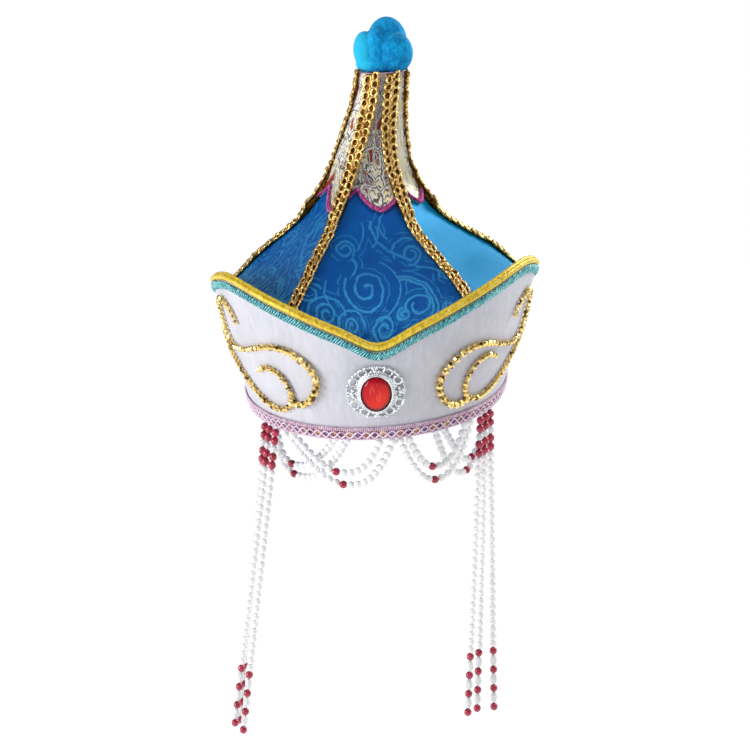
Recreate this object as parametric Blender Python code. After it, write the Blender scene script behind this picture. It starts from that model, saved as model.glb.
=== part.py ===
"""Mongolian dance cap: an onion-shaped satin crown inside a flared, upturned velvet band.

Metres, +Z up. The front faces -Y and +X is the wearer's left, the viewer's right.
The origin is the centre of the head opening, in the plane of the band's lower edge.
"""

import math

import bmesh
import bpy
from mathutils import Vector

MM = 0.001
GAP = 0.3 * MM

# Head opening: a head is longer than it is wide, and the band takes that oval
RIM_HALF_WIDTH = 82 * MM
RIM_HALF_DEPTH = 105 * MM
FLARE_SIDE = 0.27
FLARE_FRONT = 0.236
BAND_LEAN = 0.045
BAND_WALL = 3 * MM

# Upper edge of the band: two peaks beside the front dip, and a low back
TOP_EDGE = [
    # degrees from the dip, height
    (0, 58.0),
    (3, 58.9),
    (6, 61.4),
    (12, 67.0),
    (20, 72.9),
    (30, 79.8),
    (40, 85.9),
    (50, 91.1),
    (58, 92.9),
    (66, 90.3),
    (76, 84.4),
    (90, 75.6),
    (105, 67.0),
    (125, 60.5),
    (150, 58.0),
    (180, 58.0),
]
DIP_AZIMUTH = 0
EDGE_LEAN = 0.01

# Crown: level rings of the roof and the neck, all taken at a side seam
CROWN_LEVELS = [
    # height, radius, depth over width, centre x, degrees the side seams are drawn forward
    (93, 75.3, 1.21, 3.6, 0),
    (102, 62.3, 1.17, 2.2, 0),
    (113, 47.2, 1.11, 2.0, 1),
    (125, 35.0, 1.06, 2.8, 3),
    (137, 27.2, 1.03, 4.0, 5),
    (155, 22.0, 1.00, 5.8, 13),
    (175, 18.2, 1.00, 9.4, 22),
    (190, 15.6, 1.00, 12.6, 24),
    (207, 14.0, 1.00, 15.4, 22),
]
SEAT_EDGE = [
    # degrees from the front, height where the roof meets the band's inner face
    (0, 56),
    (20, 66),
    (40, 73),
    (60, 75),
    (90, 71),
    (110, 60),
    (130, 54),
    (180, 52),
]
ROOF_SPLIT = 0.2
ROOF_BULGE = 4 * MM
CROWN_WALL = 2 * MM
SEAMS = (-147, -90, -33, 36, 90, 147)
PANEL_STEPS = 8
PANEL_FLATNESS = 0.115
NECK_TOP = 207 * MM
SHOULDER = 93 * MM

# Brocade sleeve on the neck, and the braid along its scallops
SLEEVE_WALL = 1.0 * MM
SLEEVE_TURN = 12
SCALLOP_TIP = 123.5 * MM
SCALLOP_SEAM = 136.5 * MM
TRIM_WIDTH = 3.6 * MM
TRIM_THICK = 1.0 * MM

# Chain braid over the crown's seams, from the band to the neck's top
SEAM_BRAID_WIDTH = [
    # height, width: drawn out on the roof, spread on the neck
    (93, 7.6),
    (125, 8.0),
    (150, 9.8),
    (175, 10.4),
    (207, 10.2),
]
SEAM_BRAID_THICK = 1.8 * MM
SEAM_BRAID_FOOT = (0.05, 0.1, 0.15)
SEAM_BRAID_LEVELS = (93, 102, 113, 119, 125, 129, 135, 141, 146, 150, 160, 172, 184, 196, 207)
SEAM_BRAID_LIFT = [
    # height, distance off the crown: bare roof, over the sleeve's trim, over the sleeve
    (93, 0.3),
    (114, 0.3),
    (122, 3.0),
    (141, 3.0),
    (150, 1.7),
    (207, 1.7),
]

# Velvet knot on the neck
KNOB_LOBES = [
    # centre x, y and height above the neck, then half sizes
    (18.5, 0.0, 15.5, 13.6, 13.0, 17.0),
    (6.5, -4.0, 13.5, 8.6, 10.5, 12.5),
    (26.0, -3.0, 9.0, 10.2, 11.0, 10.5),
]

# Trims sewn round the band
PIPING_HALF_THICK = 1.9 * MM
PIPING_HALF_HEIGHT = 2.6 * MM
PIPING_SIDES = 6
BRIM_BRAID_WIDTH = 5.6 * MM
RIM_BRAID_WIDTH = 8.4 * MM
BRAID_THICK = 1.3 * MM

# Filigree brooch on the front of the band, and its oval stone
BROOCH_AZIMUTH = -1
BROOCH_HEIGHT = 32.5 * MM
BROOCH_RADIUS = 18.6 * MM
BROOCH_LOBES = 12
BROOCH_QUARTER = BROOCH_LOBES // 4
BROOCH_PLATE = 1.2 * MM
BROOCH_DOME = 2.0 * MM
BROOCH_COLLAR = 3.6 * MM
BROOCH_HOLE_RADIUS = 1.7 * MM
BROOCH_HOLE_INSET = 3.4 * MM
STONE_HALF = (8.8 * MM, 11.4 * MM)
STONE_SEAT = 1.2 * MM
STONE_FACETS = 16
STONE_CUT = [
    # share of the half sizes, height above the seat
    (1.0, 0.0),
    (1.0, 1.6),
    (0.82, 3.4),
    (0.52, 4.6),
]

# Gold bead scrolls on the band: azimuth, height and bead diameter along each string
SCROLL_OUTER = [
    (58.0, 64.5, 2.4),
    (59.0, 70.0, 2.4),
    (61.5, 74.5, 2.6),
    (66.0, 77.5, 2.8),
    (70.0, 71.0, 2.8),
    (71.5, 62.0, 2.8),
    (71.5, 53.5, 2.8),
    (69.0, 47.0, 2.8),
    (64.0, 45.4, 2.8),
    (57.0, 47.2, 2.8),
    (49.5, 51.0, 3.0),
    (43.0, 54.2, 3.4),
    (37.0, 55.3, 3.8),
    (32.0, 53.6, 4.2),
    (28.0, 49.5, 4.6),
    (24.6, 44.0, 4.6),
    (22.9, 37.5, 4.8),
    (23.4, 31.0, 4.6),
    (25.6, 25.0, 4.4),
    (29.0, 20.2, 4.2),
    (33.4, 18.6, 3.8),
]
SCROLL_INNER = [
    (80.0, 53.5, 2.6),
    (78.0, 46.0, 2.6),
    (73.5, 39.5, 2.6),
    (68.0, 34.0, 2.6),
    (61.5, 27.0, 2.8),
    (55.5, 21.3, 3.0),
    (49.5, 17.2, 3.4),
    (44.5, 15.6, 3.6),
    (39.6, 16.8, 3.4),
    (36.2, 21.0, 3.4),
    (35.1, 26.6, 3.2),
    (35.8, 32.4, 3.2),
    (38.0, 38.4, 3.0),
    (42.0, 42.2, 3.0),
    (46.5, 42.2, 3.0),
    (50.8, 38.6, 3.0),
]
SCROLL_LEAN = 3 * MM

# Bead fringe under the rim
BEAD = 5.0 * MM
STRING_STOPS = 8
OUTER_ROW = -1.0 * MM
INNER_ROW = -8.0 * MM
STRANDS = [
    # name, azimuth at the rim, x, y and z of the free end
    ("strand_left_1", -61.2, -103.5, -44.0, -212),
    ("strand_left_2", -56.9, -106.0, -52.0, -210),
    ("strand_left_3", -51.8, -100.4, -59.0, -212),
    ("strand_right_1", 61.0, 65.0, -51.0, -210),
    ("strand_right_2", 56.5, 53.5, -56.0, -208),
    ("strand_right_3", 52.0, 47.0, -63.0, -207),
]
SWAGS = [
    # name, row, azimuth of both ends, depth of the lowest bead below the rim, lean: below 1
    # the lowest bead is nearer the first end, above 1 nearer the second
    ("swag_left_outer_1", INNER_ROW, -59.8, -21.2, 28, 0.53),
    ("swag_left_outer_2", INNER_ROW, -63.6, -15.2, 36, 0.61),
    ("swag_left_inner_1", OUTER_ROW, -40.4, 0.0, 24, 1.22),
    ("swag_left_inner_2", OUTER_ROW, -45.5, 5.7, 33, 1.18),
    ("swag_right_inner_1", OUTER_ROW, 13.1, 41.0, 24, 1.0),
    ("swag_right_inner_2", OUTER_ROW, 9.1, 44.6, 33, 1.0),
    ("swag_right_outer_1", INNER_ROW, 31.6, 67.1, 32, 1.38),
    ("swag_right_outer_2", INNER_ROW, 27.6, 72.6, 40, 1.02),
]

FINISHES = {
    # name: colour, roughness, metallic
    "blue_brocade": ((0.005, 0.115, 0.42), 0.5, 0.0),
    "silver_brocade": ((0.50, 0.45, 0.38), 0.5, 0.0),
    "magenta_braid": ((0.55, 0.05, 0.32), 0.45, 0.2),
    "gold_chain": ((0.80, 0.50, 0.10), 0.28, 0.9),
    "blue_velvet": ((0.02, 0.33, 0.72), 0.9, 0.0),
    "white_velvet": ((0.80, 0.80, 0.86), 0.9, 0.0),
    "yellow_satin": ((0.70, 0.47, 0.04), 0.4, 0.0),
    "teal_braid": ((0.05, 0.40, 0.47), 0.45, 0.2),
    "lilac_braid": ((0.70, 0.40, 0.68), 0.5, 0.0),
    "silver_filigree": ((0.75, 0.78, 0.80), 0.25, 1.0),
    "red_glass": ((0.62, 0.01, 0.015), 0.08, 0.0),
    "gold_beads": ((0.80, 0.50, 0.10), 0.22, 1.0),
    "pearl": ((0.86, 0.86, 0.84), 0.2, 0.0),
}


def clear_scene():
    for thing in list(bpy.data.objects):
        bpy.data.objects.remove(thing, do_unlink=True)


def material(name):
    found = bpy.data.materials.get(name)
    if found:
        return found
    colour, roughness, metallic = FINISHES[name]
    made = bpy.data.materials.new(name)
    made.use_nodes = True
    shader = made.node_tree.nodes["Principled BSDF"]
    shader.inputs["Base Color"].default_value = (*colour, 1)
    shader.inputs["Roughness"].default_value = roughness
    shader.inputs["Metallic"].default_value = metallic
    return made


def place(name, data, finish):
    thing = bpy.data.objects.new(name, data)
    bpy.context.collection.objects.link(thing)
    data.materials.append(material(finish))
    return thing


def mesh_object(name, bm, finish, smooth=True):
    bmesh.ops.recalc_face_normals(bm, faces=bm.faces)
    if bm.calc_volume(signed=True) < 0:
        bmesh.ops.reverse_faces(bm, faces=bm.faces)
    data = bpy.data.meshes.new(name)
    bm.to_mesh(data)
    bm.free()
    if smooth:
        data.shade_smooth()
        data.set_sharp_from_angle(angle=math.radians(40))
    return place(name, data, finish)


def combine(thing, tool, operation):
    """Join a tool to a thing, or cut it away; the tool itself isn't part of the cap."""
    joint = thing.modifiers.new(tool.name, "BOOLEAN")
    joint.operation = operation
    joint.object = tool
    tool.hide_render = True
    tool.display_type = "WIRE"


def row_before(rows, at):
    """Index of the row whose stretch to the next one holds this place."""
    return max(0, min(len(rows) - 2, sum(row[0] <= at for row in rows) - 1))


def straight_table(rows, at, column=1):
    """Value of a column at a place in the first column, straight between the rows."""
    i = row_before(rows, at)
    t = max(0.0, min(1.0, (at - rows[i][0]) / (rows[i + 1][0] - rows[i][0])))
    return rows[i][column] * (1 - t) + rows[i + 1][column] * t


def smooth_table(rows, at, column=1):
    """Value of a column at a place in the first column, on a curve through the rows."""
    last = len(rows) - 1
    i = row_before(rows, at)

    def slope(k):
        low, high = rows[max(k - 1, 0)], rows[min(k + 1, last)]
        return (high[column] - low[column]) / (high[0] - low[0])

    start, end = rows[i], rows[i + 1]
    span = end[0] - start[0]
    t = max(0.0, min(1.0, (at - start[0]) / span))
    rise = end[column] - start[column]
    bend_start = slope(i) * span - rise
    bend_end = -slope(i + 1) * span + rise
    curve = t * (1 - t) * ((1 - t) * bend_start + t * bend_end)
    return start[column] + t * rise + curve


def turn(degrees):
    """The same azimuth between -180 and 180."""
    return (degrees + 180) % 360 - 180


def band_point(azimuth, height, offset=0.0):
    """A point on the band's outer face, or that far outside it."""
    a = math.radians(azimuth)
    x = (RIM_HALF_WIDTH + FLARE_SIDE * height + offset) * math.sin(a)
    y = -(RIM_HALF_DEPTH + FLARE_FRONT * height + offset) * math.cos(a)
    return Vector((x + BAND_LEAN * height, y, height))


def band_top(azimuth):
    from_dip = abs(turn(azimuth - DIP_AZIMUTH))
    level = smooth_table(TOP_EDGE, from_dip) * MM
    return level - EDGE_LEAN * RIM_HALF_WIDTH * math.sin(math.radians(azimuth))


def panel_place(azimuth):
    """Place across a roof panel: 0 at its middle and 1 at a seam."""
    at = turn(azimuth)
    edges = [SEAMS[-1] - 360, *SEAMS, SEAMS[0] + 360]
    for low, high in zip(edges, edges[1:]):
        if low <= at <= high:
            return abs(at - (low + high) / 2) / ((high - low) / 2)
    return 0.0


def level_point(azimuth, height):
    """A point of the free roof or neck, above the shoulder."""
    level = height / MM
    radius, oval, centre, gather = (
        straight_table(CROWN_LEVELS, level, column) for column in (1, 2, 3, 4)
    )
    flat = 1 - PANEL_FLATNESS * (1 - panel_place(azimuth) ** 2)
    a = math.radians(azimuth - gather * math.sin(math.radians(azimuth)))
    x = centre + radius * flat * math.sin(a)
    y = -radius * flat * oval * math.cos(a)
    return Vector((x * MM, y * MM, height))


def roof_point(azimuth, rise):
    """A point of the crown's outer face: rise is 0 at the band and 1 at the neck's top."""
    if rise >= ROOF_SPLIT:
        part = (rise - ROOF_SPLIT) / (1 - ROOF_SPLIT)
        return level_point(azimuth, SHOULDER + part * (NECK_TOP - SHOULDER))
    seat = smooth_table(SEAT_EDGE, abs(turn(azimuth))) * MM
    foot = band_point(azimuth, seat, -BAND_WALL - GAP)
    shoulder = level_point(azimuth, SHOULDER)
    part = rise / ROOF_SPLIT
    out = Vector((shoulder.x, shoulder.y, 0)).normalized()
    front = abs(math.cos(math.radians(azimuth)))
    bulge = out * (ROOF_BULGE * front * 4 * part * (1 - part))
    return foot.lerp(shoulder, part) + bulge


def roof_offset(azimuth, rise, distance, side=0.0):
    """A point that far outside the crown, and that far sideways along it."""
    step = 0.5
    low, high = max(rise - 0.01, 0), min(rise + 0.01, 1)
    across = roof_point(azimuth + step, rise) - roof_point(azimuth - step, rise)
    along = roof_point(azimuth, high) - roof_point(azimuth, low)
    normal = across.cross(along).normalized()
    return roof_point(azimuth, rise) + normal * distance + across.normalized() * side


def rise_at(height):
    """The rise of a level on the free roof or neck."""
    return ROOF_SPLIT + (1 - ROOF_SPLIT) * (height - SHOULDER) / (NECK_TOP - SHOULDER)


def ring_azimuths():
    """Stations round the cap, with one on every seam."""
    ends = [*SEAMS, SEAMS[0] + 360]
    return [
        low + (high - low) * i / PANEL_STEPS
        for low, high in zip(ends, ends[1:])
        for i in range(PANEL_STEPS)
    ]


def ring_solid(name, section_at, finish):
    """A closed ring: section_at gives the same closed outline at each azimuth."""
    bm = bmesh.new()
    rows = [[bm.verts.new(p) for p in section_at(azimuth)] for azimuth in ring_azimuths()]
    skin(bm, rows + rows[:1])
    return mesh_object(name, bm, finish)


def skin(bm, rows):
    """Faces between neighbouring closed outlines."""
    for row, following in zip(rows, rows[1:]):
        for i in range(len(row)):
            j = (i + 1) % len(row)
            bm.faces.new((row[i], row[j], following[j], following[i]))


def string_solid(name, points, radii, finish):
    """A round string through the points, on a smooth curve, with filled ends."""
    data = bpy.data.curves.new(name, "CURVE")
    data.dimensions = "3D"
    spline = data.splines.new("POLY")
    spline.points.add(len(points) - 1)
    for slot, point, radius in zip(spline.points, points, radii):
        slot.co = (*point, 1)
        slot.radius = radius / BEAD
    data.bevel_depth = BEAD
    data.bevel_resolution = 2
    data.use_fill_caps = True
    return place(name, data, finish)


def make_band():
    def section(azimuth):
        top = band_top(azimuth)
        return (
            band_point(azimuth, 0),
            band_point(azimuth, top),
            band_point(azimuth, top, -BAND_WALL),
            band_point(azimuth, 0, -BAND_WALL),
        )

    ring_solid("band", section, "white_velvet")


def make_band_trims():
    """Piping on the band's edge, and a flat braid under it and at the rim."""

    def piping(azimuth):
        top = band_top(azimuth) + GAP + PIPING_HALF_HEIGHT
        centre = band_point(azimuth, top, -BAND_WALL / 2)
        a = math.radians(azimuth)
        out = Vector((math.sin(a), -math.cos(a), 0)) * PIPING_HALF_THICK
        up = Vector((0, 0, PIPING_HALF_HEIGHT))
        angles = [2 * math.pi * k / PIPING_SIDES for k in range(PIPING_SIDES)]
        return [centre + out * math.sin(t) + up * math.cos(t) for t in angles]

    def strip(azimuth, low, high):
        face, back = GAP + BRAID_THICK, GAP
        corners = ((low, back), (low, face), (high, face), (high, back))
        return [band_point(azimuth, height, offset) for height, offset in corners]

    def brim_braid(azimuth):
        top = band_top(azimuth)
        return strip(azimuth, top - BRIM_BRAID_WIDTH, top - GAP)

    def rim_braid(azimuth):
        return strip(azimuth, GAP, RIM_BRAID_WIDTH)

    ring_solid("brim_piping", piping, "yellow_satin")
    ring_solid("brim_braid", brim_braid, "teal_braid")
    ring_solid("rim_braid", rim_braid, "lilac_braid")


def make_crown():
    rises = [0, 0.1, 0.2, *[rise_at(row[0] * MM) for row in CROWN_LEVELS[1:]]]
    inner_rises = [rise for rise in reversed(rises) if rise > 0]

    def section(azimuth):
        outer = [roof_point(azimuth, rise) for rise in rises]
        inner = [roof_offset(azimuth, rise, -CROWN_WALL) for rise in inner_rises]
        seat = outer[0].z
        wall = BAND_WALL + GAP
        fold = band_point(azimuth, seat - 2 * CROWN_WALL, -wall - CROWN_WALL)
        hem_inside = band_point(azimuth, 0, -wall - CROWN_WALL)
        hem_outside = band_point(azimuth, 0, -wall)
        return [hem_outside, *outer, *inner, fold, hem_inside]

    ring_solid("crown", section, "blue_brocade")


def scallop(azimuth):
    """Height of the sleeve's lower edge; the sleeve is turned a little from the seams."""
    place = panel_place(azimuth - SLEEVE_TURN)
    return SCALLOP_TIP + (SCALLOP_SEAM - SCALLOP_TIP) * place**1.5


def make_neck_sleeve():
    def section(azimuth):
        levels = [row[0] * MM for row in CROWN_LEVELS if row[0] * MM > SCALLOP_SEAM]
        rises = [rise_at(height) for height in (scallop(azimuth), *levels)]
        outer = [roof_offset(azimuth, rise, GAP + SLEEVE_WALL) for rise in rises]
        inner = [roof_offset(azimuth, rise, GAP) for rise in rises[::-1]]
        return outer + inner

    def trim(azimuth):
        low = rise_at(scallop(azimuth) - 0.3 * TRIM_WIDTH)
        high = rise_at(scallop(azimuth) + 0.7 * TRIM_WIDTH)
        inside = 2 * GAP + SLEEVE_WALL
        outside = inside + TRIM_THICK
        corners = ((low, inside), (low, outside), (high, outside), (high, inside))
        return [roof_offset(azimuth, rise, distance) for rise, distance in corners]

    ring_solid("neck_sleeve", section, "silver_brocade")
    ring_solid("sleeve_trim", trim, "magenta_braid")


def make_seam_braid(name, azimuth):
    """A flat chain along one seam, with its ridge a little narrower than its back."""
    lowest = SEAM_BRAID_LEVELS[0]
    stations = [(rise, lowest) for rise in SEAM_BRAID_FOOT]
    stations += [(rise_at(height * MM), height) for height in SEAM_BRAID_LEVELS]
    bm = bmesh.new()
    rows = []
    for rise, height in stations:
        lift = smooth_table(SEAM_BRAID_LIFT, height) * MM
        half = smooth_table(SEAM_BRAID_WIDTH, height) / 2 * MM
        edge, ridge = lift + 0.6 * SEAM_BRAID_THICK, lift + SEAM_BRAID_THICK
        outline = ((-half, lift), (half, lift), (half, edge), (0.4 * half, ridge))
        outline += ((-0.4 * half, ridge), (-half, edge))
        rows.append([bm.verts.new(roof_offset(azimuth, rise, d, s)) for s, d in outline])
    skin(bm, rows)
    bm.faces.new(rows[0])
    bm.faces.new(rows[-1])
    mesh_object(name, bm, "gold_chain")


def make_knob():
    """Three soft lobes joined by unions, cut flat where they sit on the neck."""
    lobes = []
    for x, y, z, half_x, half_y, half_z in KNOB_LOBES:
        bm = bmesh.new()
        bmesh.ops.create_icosphere(bm, subdivisions=2, radius=1)
        bmesh.ops.scale(bm, vec=Vector((half_x, half_y, half_z)) * MM, verts=bm.verts)
        centre = Vector((x * MM, y * MM, NECK_TOP + GAP + z * MM))
        bmesh.ops.translate(bm, vec=centre, verts=bm.verts)
        name = "knob" if not lobes else f"knob_lobe_{len(lobes)}"
        lobes.append(mesh_object(name, bm, "blue_velvet"))
    bm = bmesh.new()
    bmesh.ops.create_cube(bm, size=100 * MM)
    down = Vector((0, 0, NECK_TOP + GAP - 50 * MM))
    bmesh.ops.translate(bm, vec=down, verts=bm.verts)
    cutter = mesh_object("knob_seat_cutter", bm, "blue_velvet", smooth=False)
    for lobe in lobes[1:]:
        combine(lobes[0], lobe, "UNION")
    combine(lobes[0], cutter, "DIFFERENCE")


def brooch_frame():
    """Centre, and the directions to the right, up and out, of the brooch on the band."""
    slope = math.atan(FLARE_FRONT)
    out = Vector((0, -math.cos(slope), -math.sin(slope)))
    up = Vector((0, -math.sin(slope), math.cos(slope)))
    centre = band_point(BROOCH_AZIMUTH, BROOCH_HEIGHT) + out * GAP
    return centre, Vector((1, 0, 0)), up, out


def on_brooch(across, upward, outward):
    centre, right, up, out = brooch_frame()
    return centre + right * across + up * upward + out * outward


def make_brooch_setting():
    """A rosette domed to a raised oval collar, pierced but for the lobe of each quarter."""
    steps = 36

    def oval(angle, margin, outward):
        across, upward = (half + margin for half in STONE_HALF)
        return on_brooch(across * math.cos(angle), upward * math.sin(angle), outward)

    def rosette(angle, outward):
        wave = abs(math.cos(BROOCH_LOBES / 2 * angle)) ** 0.6
        radius = BROOCH_RADIUS * (0.9 + 0.1 * wave)
        return on_brooch(radius * math.cos(angle), radius * math.sin(angle), outward)

    bm = bmesh.new()
    rows = []
    for i in range(steps):
        angle = 2 * math.pi * i / steps
        section = (
            oval(angle, -1.2 * MM, 0),
            rosette(angle, 0),
            rosette(angle, BROOCH_PLATE),
            oval(angle, 2.0 * MM, BROOCH_DOME),
            oval(angle, 1.5 * MM, BROOCH_COLLAR),
            oval(angle, GAP, BROOCH_COLLAR),
            oval(angle, GAP, STONE_SEAT),
            oval(angle, -1.2 * MM, STONE_SEAT),
        )
        rows.append([bm.verts.new(point) for point in section])
    skin(bm, rows + rows[:1])
    setting = mesh_object("brooch_setting", bm, "silver_filigree")

    bm = bmesh.new()
    for i in range(BROOCH_LOBES):
        if i % BROOCH_QUARTER == 0:
            continue
        angle = 2 * math.pi * i / BROOCH_LOBES
        reach = BROOCH_RADIUS - BROOCH_HOLE_INSET
        radius = BROOCH_HOLE_RADIUS
        made = bmesh.ops.create_cone(
            bm, cap_ends=True, segments=8, radius1=radius, radius2=radius, depth=9 * MM
        )
        move = Vector((reach * math.cos(angle), reach * math.sin(angle), 0))
        bmesh.ops.translate(bm, vec=move, verts=made["verts"])
    for vert in bm.verts:
        vert.co = on_brooch(*vert.co)
    cutter = mesh_object("brooch_piercing_cutter", bm, "silver_filigree", smooth=False)
    combine(setting, cutter, "DIFFERENCE")


def make_brooch_stone():
    """An oval cut stone with a table and two rows of facets."""
    bm = bmesh.new()
    rows = []
    for scale, height in STONE_CUT:
        outward = STONE_SEAT + GAP + height * MM
        row = []
        for i in range(STONE_FACETS):
            angle = 2 * math.pi * i / STONE_FACETS
            across, upward = (half * scale for half in STONE_HALF)
            point = on_brooch(across * math.cos(angle), upward * math.sin(angle), outward)
            row.append(bm.verts.new(point))
        rows.append(row)
    skin(bm, rows)
    bm.faces.new(rows[0])
    bm.faces.new(rows[-1])
    mesh_object("brooch_stone", bm, "red_glass", smooth=False)


def make_scroll(name, rows, side, lean):
    """A string of gold beads lying on the band, as a tube through its route."""
    last = len(rows) - 1
    stops = 3 * last // 2
    points, radii = [], []
    table = [(i, *row) for i, row in enumerate(rows)]
    for i in range(stops + 1):
        azimuth, height, bead = (smooth_table(table, i * last / stops, k) for k in (1, 2, 3))
        radius = bead / 2 * MM
        level = height * MM - side * lean
        points.append(band_point(side * azimuth, level, (radius + GAP) * 1.08))
        radii.append(radius)
    string_solid(name, points, radii, "gold_beads")


def make_strand(name, azimuth, foot_x, foot_y, foot_z):
    """A string of pearls that hangs almost straight from the rim."""
    knot = band_point(azimuth, 0, OUTER_ROW) - Vector((0, 0, GAP))
    top = knot - Vector((0, 0, BEAD / 2))
    foot = Vector((foot_x, foot_y, foot_z)) * MM
    points = [knot, *[top.lerp(foot, i / STRING_STOPS) for i in range(STRING_STOPS + 1)]]
    string_solid(name, points, [BEAD / 2] * len(points), "pearl")


def make_swag(name, row, start, end, depth, lean):
    """A string of pearls that hangs between two places on the rim."""
    knots = [band_point(azimuth, 0, row) - Vector((0, 0, GAP)) for azimuth in (start, end)]
    drop = Vector((0, 0, BEAD / 2))
    points = []
    for i in range(STRING_STOPS + 1):
        part = (1 - math.cos(math.pi * i / STRING_STOPS)) / 2
        sag = (1 - abs(2 * part**lean - 1) ** 2.3) * (depth * MM - BEAD / 2)
        points.append(knots[0].lerp(knots[1], part) - drop - Vector((0, 0, sag)))
    points = [knots[0], *points, knots[1]]
    string_solid(name, points, [BEAD / 2] * len(points), "pearl")


clear_scene()
make_band()
make_band_trims()
make_crown()
make_neck_sleeve()
for number, seam in enumerate(SEAMS, 1):
    make_seam_braid(f"seam_braid_{number}", seam)
make_knob()
make_brooch_setting()
make_brooch_stone()
for side, word in ((-1, "left"), (1, "right")):
    make_scroll(f"scroll_{word}_outer", SCROLL_OUTER, side, SCROLL_LEAN)
    make_scroll(f"scroll_{word}_inner", SCROLL_INNER, side, 0)
for strand in STRANDS:
    make_strand(*strand)
for swag in SWAGS:
    make_swag(*swag)
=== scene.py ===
# %% [markdown]
# # Mongolian dance cap
#
# The cap is an onion-shaped brocade crown that rises from a flared velvet band, with braids,
# gold beads, a brooch and strings of pearls on it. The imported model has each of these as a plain
# solid in its right place. We could start from an empty scene instead, but then every size would
# have to be found again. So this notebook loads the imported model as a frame, never moves it, and
# dresses it piece by piece.

import bisect
import math
import random

import bmesh
import bpy
from mathutils import Matrix, Vector


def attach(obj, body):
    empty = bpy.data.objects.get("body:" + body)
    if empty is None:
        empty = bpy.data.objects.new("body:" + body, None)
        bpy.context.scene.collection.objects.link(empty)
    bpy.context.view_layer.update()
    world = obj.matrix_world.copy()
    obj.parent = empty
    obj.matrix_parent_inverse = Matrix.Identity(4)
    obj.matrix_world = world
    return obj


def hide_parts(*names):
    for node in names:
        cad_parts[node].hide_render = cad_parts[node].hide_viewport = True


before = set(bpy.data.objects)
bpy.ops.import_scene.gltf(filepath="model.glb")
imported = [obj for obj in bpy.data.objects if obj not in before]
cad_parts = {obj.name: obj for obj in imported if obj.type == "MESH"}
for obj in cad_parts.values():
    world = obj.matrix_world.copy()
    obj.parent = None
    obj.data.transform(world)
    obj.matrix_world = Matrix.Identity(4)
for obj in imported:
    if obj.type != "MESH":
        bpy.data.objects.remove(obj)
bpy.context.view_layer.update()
MM = 0.001
print(len(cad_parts), "nodes in the frame")

# %% [markdown]
# ## The shape of the cap as a few functions
#
# A hat maker thinks of a band as a strip bent to an oval, and of a crown as panels between
# seams. Both are surfaces with two directions, round and up. We could pull such surfaces into
# shape by hand, but then nothing would follow when a size changes. Written as functions, they
# let us cut each piece flat and then lay it on the cap. Short tables hold what isn't a formula.

# %% Measures of the band
RIM_HALF_WIDTH = 82 * MM
RIM_HALF_DEPTH = 105 * MM
FLARE_SIDE, FLARE_FRONT, BAND_LEAN = 0.27, 0.236, 0.045
BAND_WALL, GAP = 3 * MM, 0.3 * MM
DIP_AZIMUTH, EDGE_LEAN = 0, 0.01
TOP_EDGE = [  # degrees from the front dip, height in mm
    (0, 58.0), (3, 58.9), (6, 61.4), (12, 67.0), (20, 72.9), (30, 79.8), (40, 85.9), (50, 91.1),
    (58, 92.9), (66, 90.3), (76, 84.4), (90, 75.6), (105, 67.0), (125, 60.5), (150, 58.0), (180, 58.0),
]


def row_before(rows, at):
    return max(0, min(len(rows) - 2, sum(row[0] <= at for row in rows) - 1))


def smooth_table(rows, at, column=1):
    """A column's value at a place in the first column, on a curve through the rows."""
    last = len(rows) - 1
    i = row_before(rows, at)

    def slope(k):
        low, high = rows[max(k - 1, 0)], rows[min(k + 1, last)]
        return (high[column] - low[column]) / (high[0] - low[0])

    start, end = rows[i], rows[i + 1]
    span, rise = end[0] - start[0], end[column] - start[column]
    t = max(0.0, min(1.0, (at - start[0]) / span))
    bend = (1 - t) * (slope(i) * span - rise) + t * (rise - slope(i + 1) * span)
    return start[column] + t * rise + t * (1 - t) * bend


def turn(degrees):
    return (degrees + 180) % 360 - 180


def band_point(azimuth, height, offset=0.0):
    """A point on the band's outer face, or that far outside it. Azimuth 0 is the front."""
    a = math.radians(azimuth)
    x = (RIM_HALF_WIDTH + FLARE_SIDE * height + offset) * math.sin(a)
    y = -(RIM_HALF_DEPTH + FLARE_FRONT * height + offset) * math.cos(a)
    return Vector((x + BAND_LEAN * height, y, height))


def band_top(azimuth):
    level = smooth_table(TOP_EDGE, abs(turn(azimuth - DIP_AZIMUTH))) * MM
    return level - EDGE_LEAN * RIM_HALF_WIDTH * math.sin(math.radians(azimuth))


print("band height at the dip and at a peak:", round(band_top(1), 4), round(band_top(59), 4))

# %% [markdown]
# ## The crown's surface
#
# Stuffed cloth has no exact profile, so the roof and neck are a table of levels with a smooth
# curve through them. Between two seams a panel is a little flat, and towards the top the seams
# are drawn to the front, as on the real cap, whose neck was gathered by hand.

# %% Measures of the crown
CROWN_LEVELS = [  # height, radius, depth over width, centre x, degrees the seams are drawn forward
    (93, 75.3, 1.21, 3.6, 0), (102, 62.3, 1.17, 2.2, 0), (113, 47.2, 1.11, 2.0, 1),
    (125, 35.0, 1.06, 2.8, 3), (137, 27.2, 1.03, 4.0, 5), (155, 22.0, 1.00, 5.8, 13),
    (175, 18.2, 1.00, 9.4, 22), (190, 15.6, 1.00, 12.6, 24), (207, 14.0, 1.00, 15.4, 22),
]
SEAT_EDGE = [  # degrees from the front, height where the roof meets the band's inner face
    (0, 56), (20, 66), (40, 73), (60, 75), (90, 71), (110, 60), (130, 54), (180, 52),
]
ROOF_SPLIT, ROOF_BULGE = 0.2, 4 * MM
SEAMS = (-147, -90, -33, 36, 90, 147)
PANEL_FLATNESS = 0.115
NECK_TOP, SHOULDER = 207 * MM, 93 * MM
NEARBY, HALF_DEGREE = 0.01, 0.5  # steps for measuring the surface's direction
PANELS = list(zip((*SEAMS, SEAMS[0] + 360), (*SEAMS[1:], SEAMS[0] + 360, SEAMS[1] + 360)))[:6]


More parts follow.
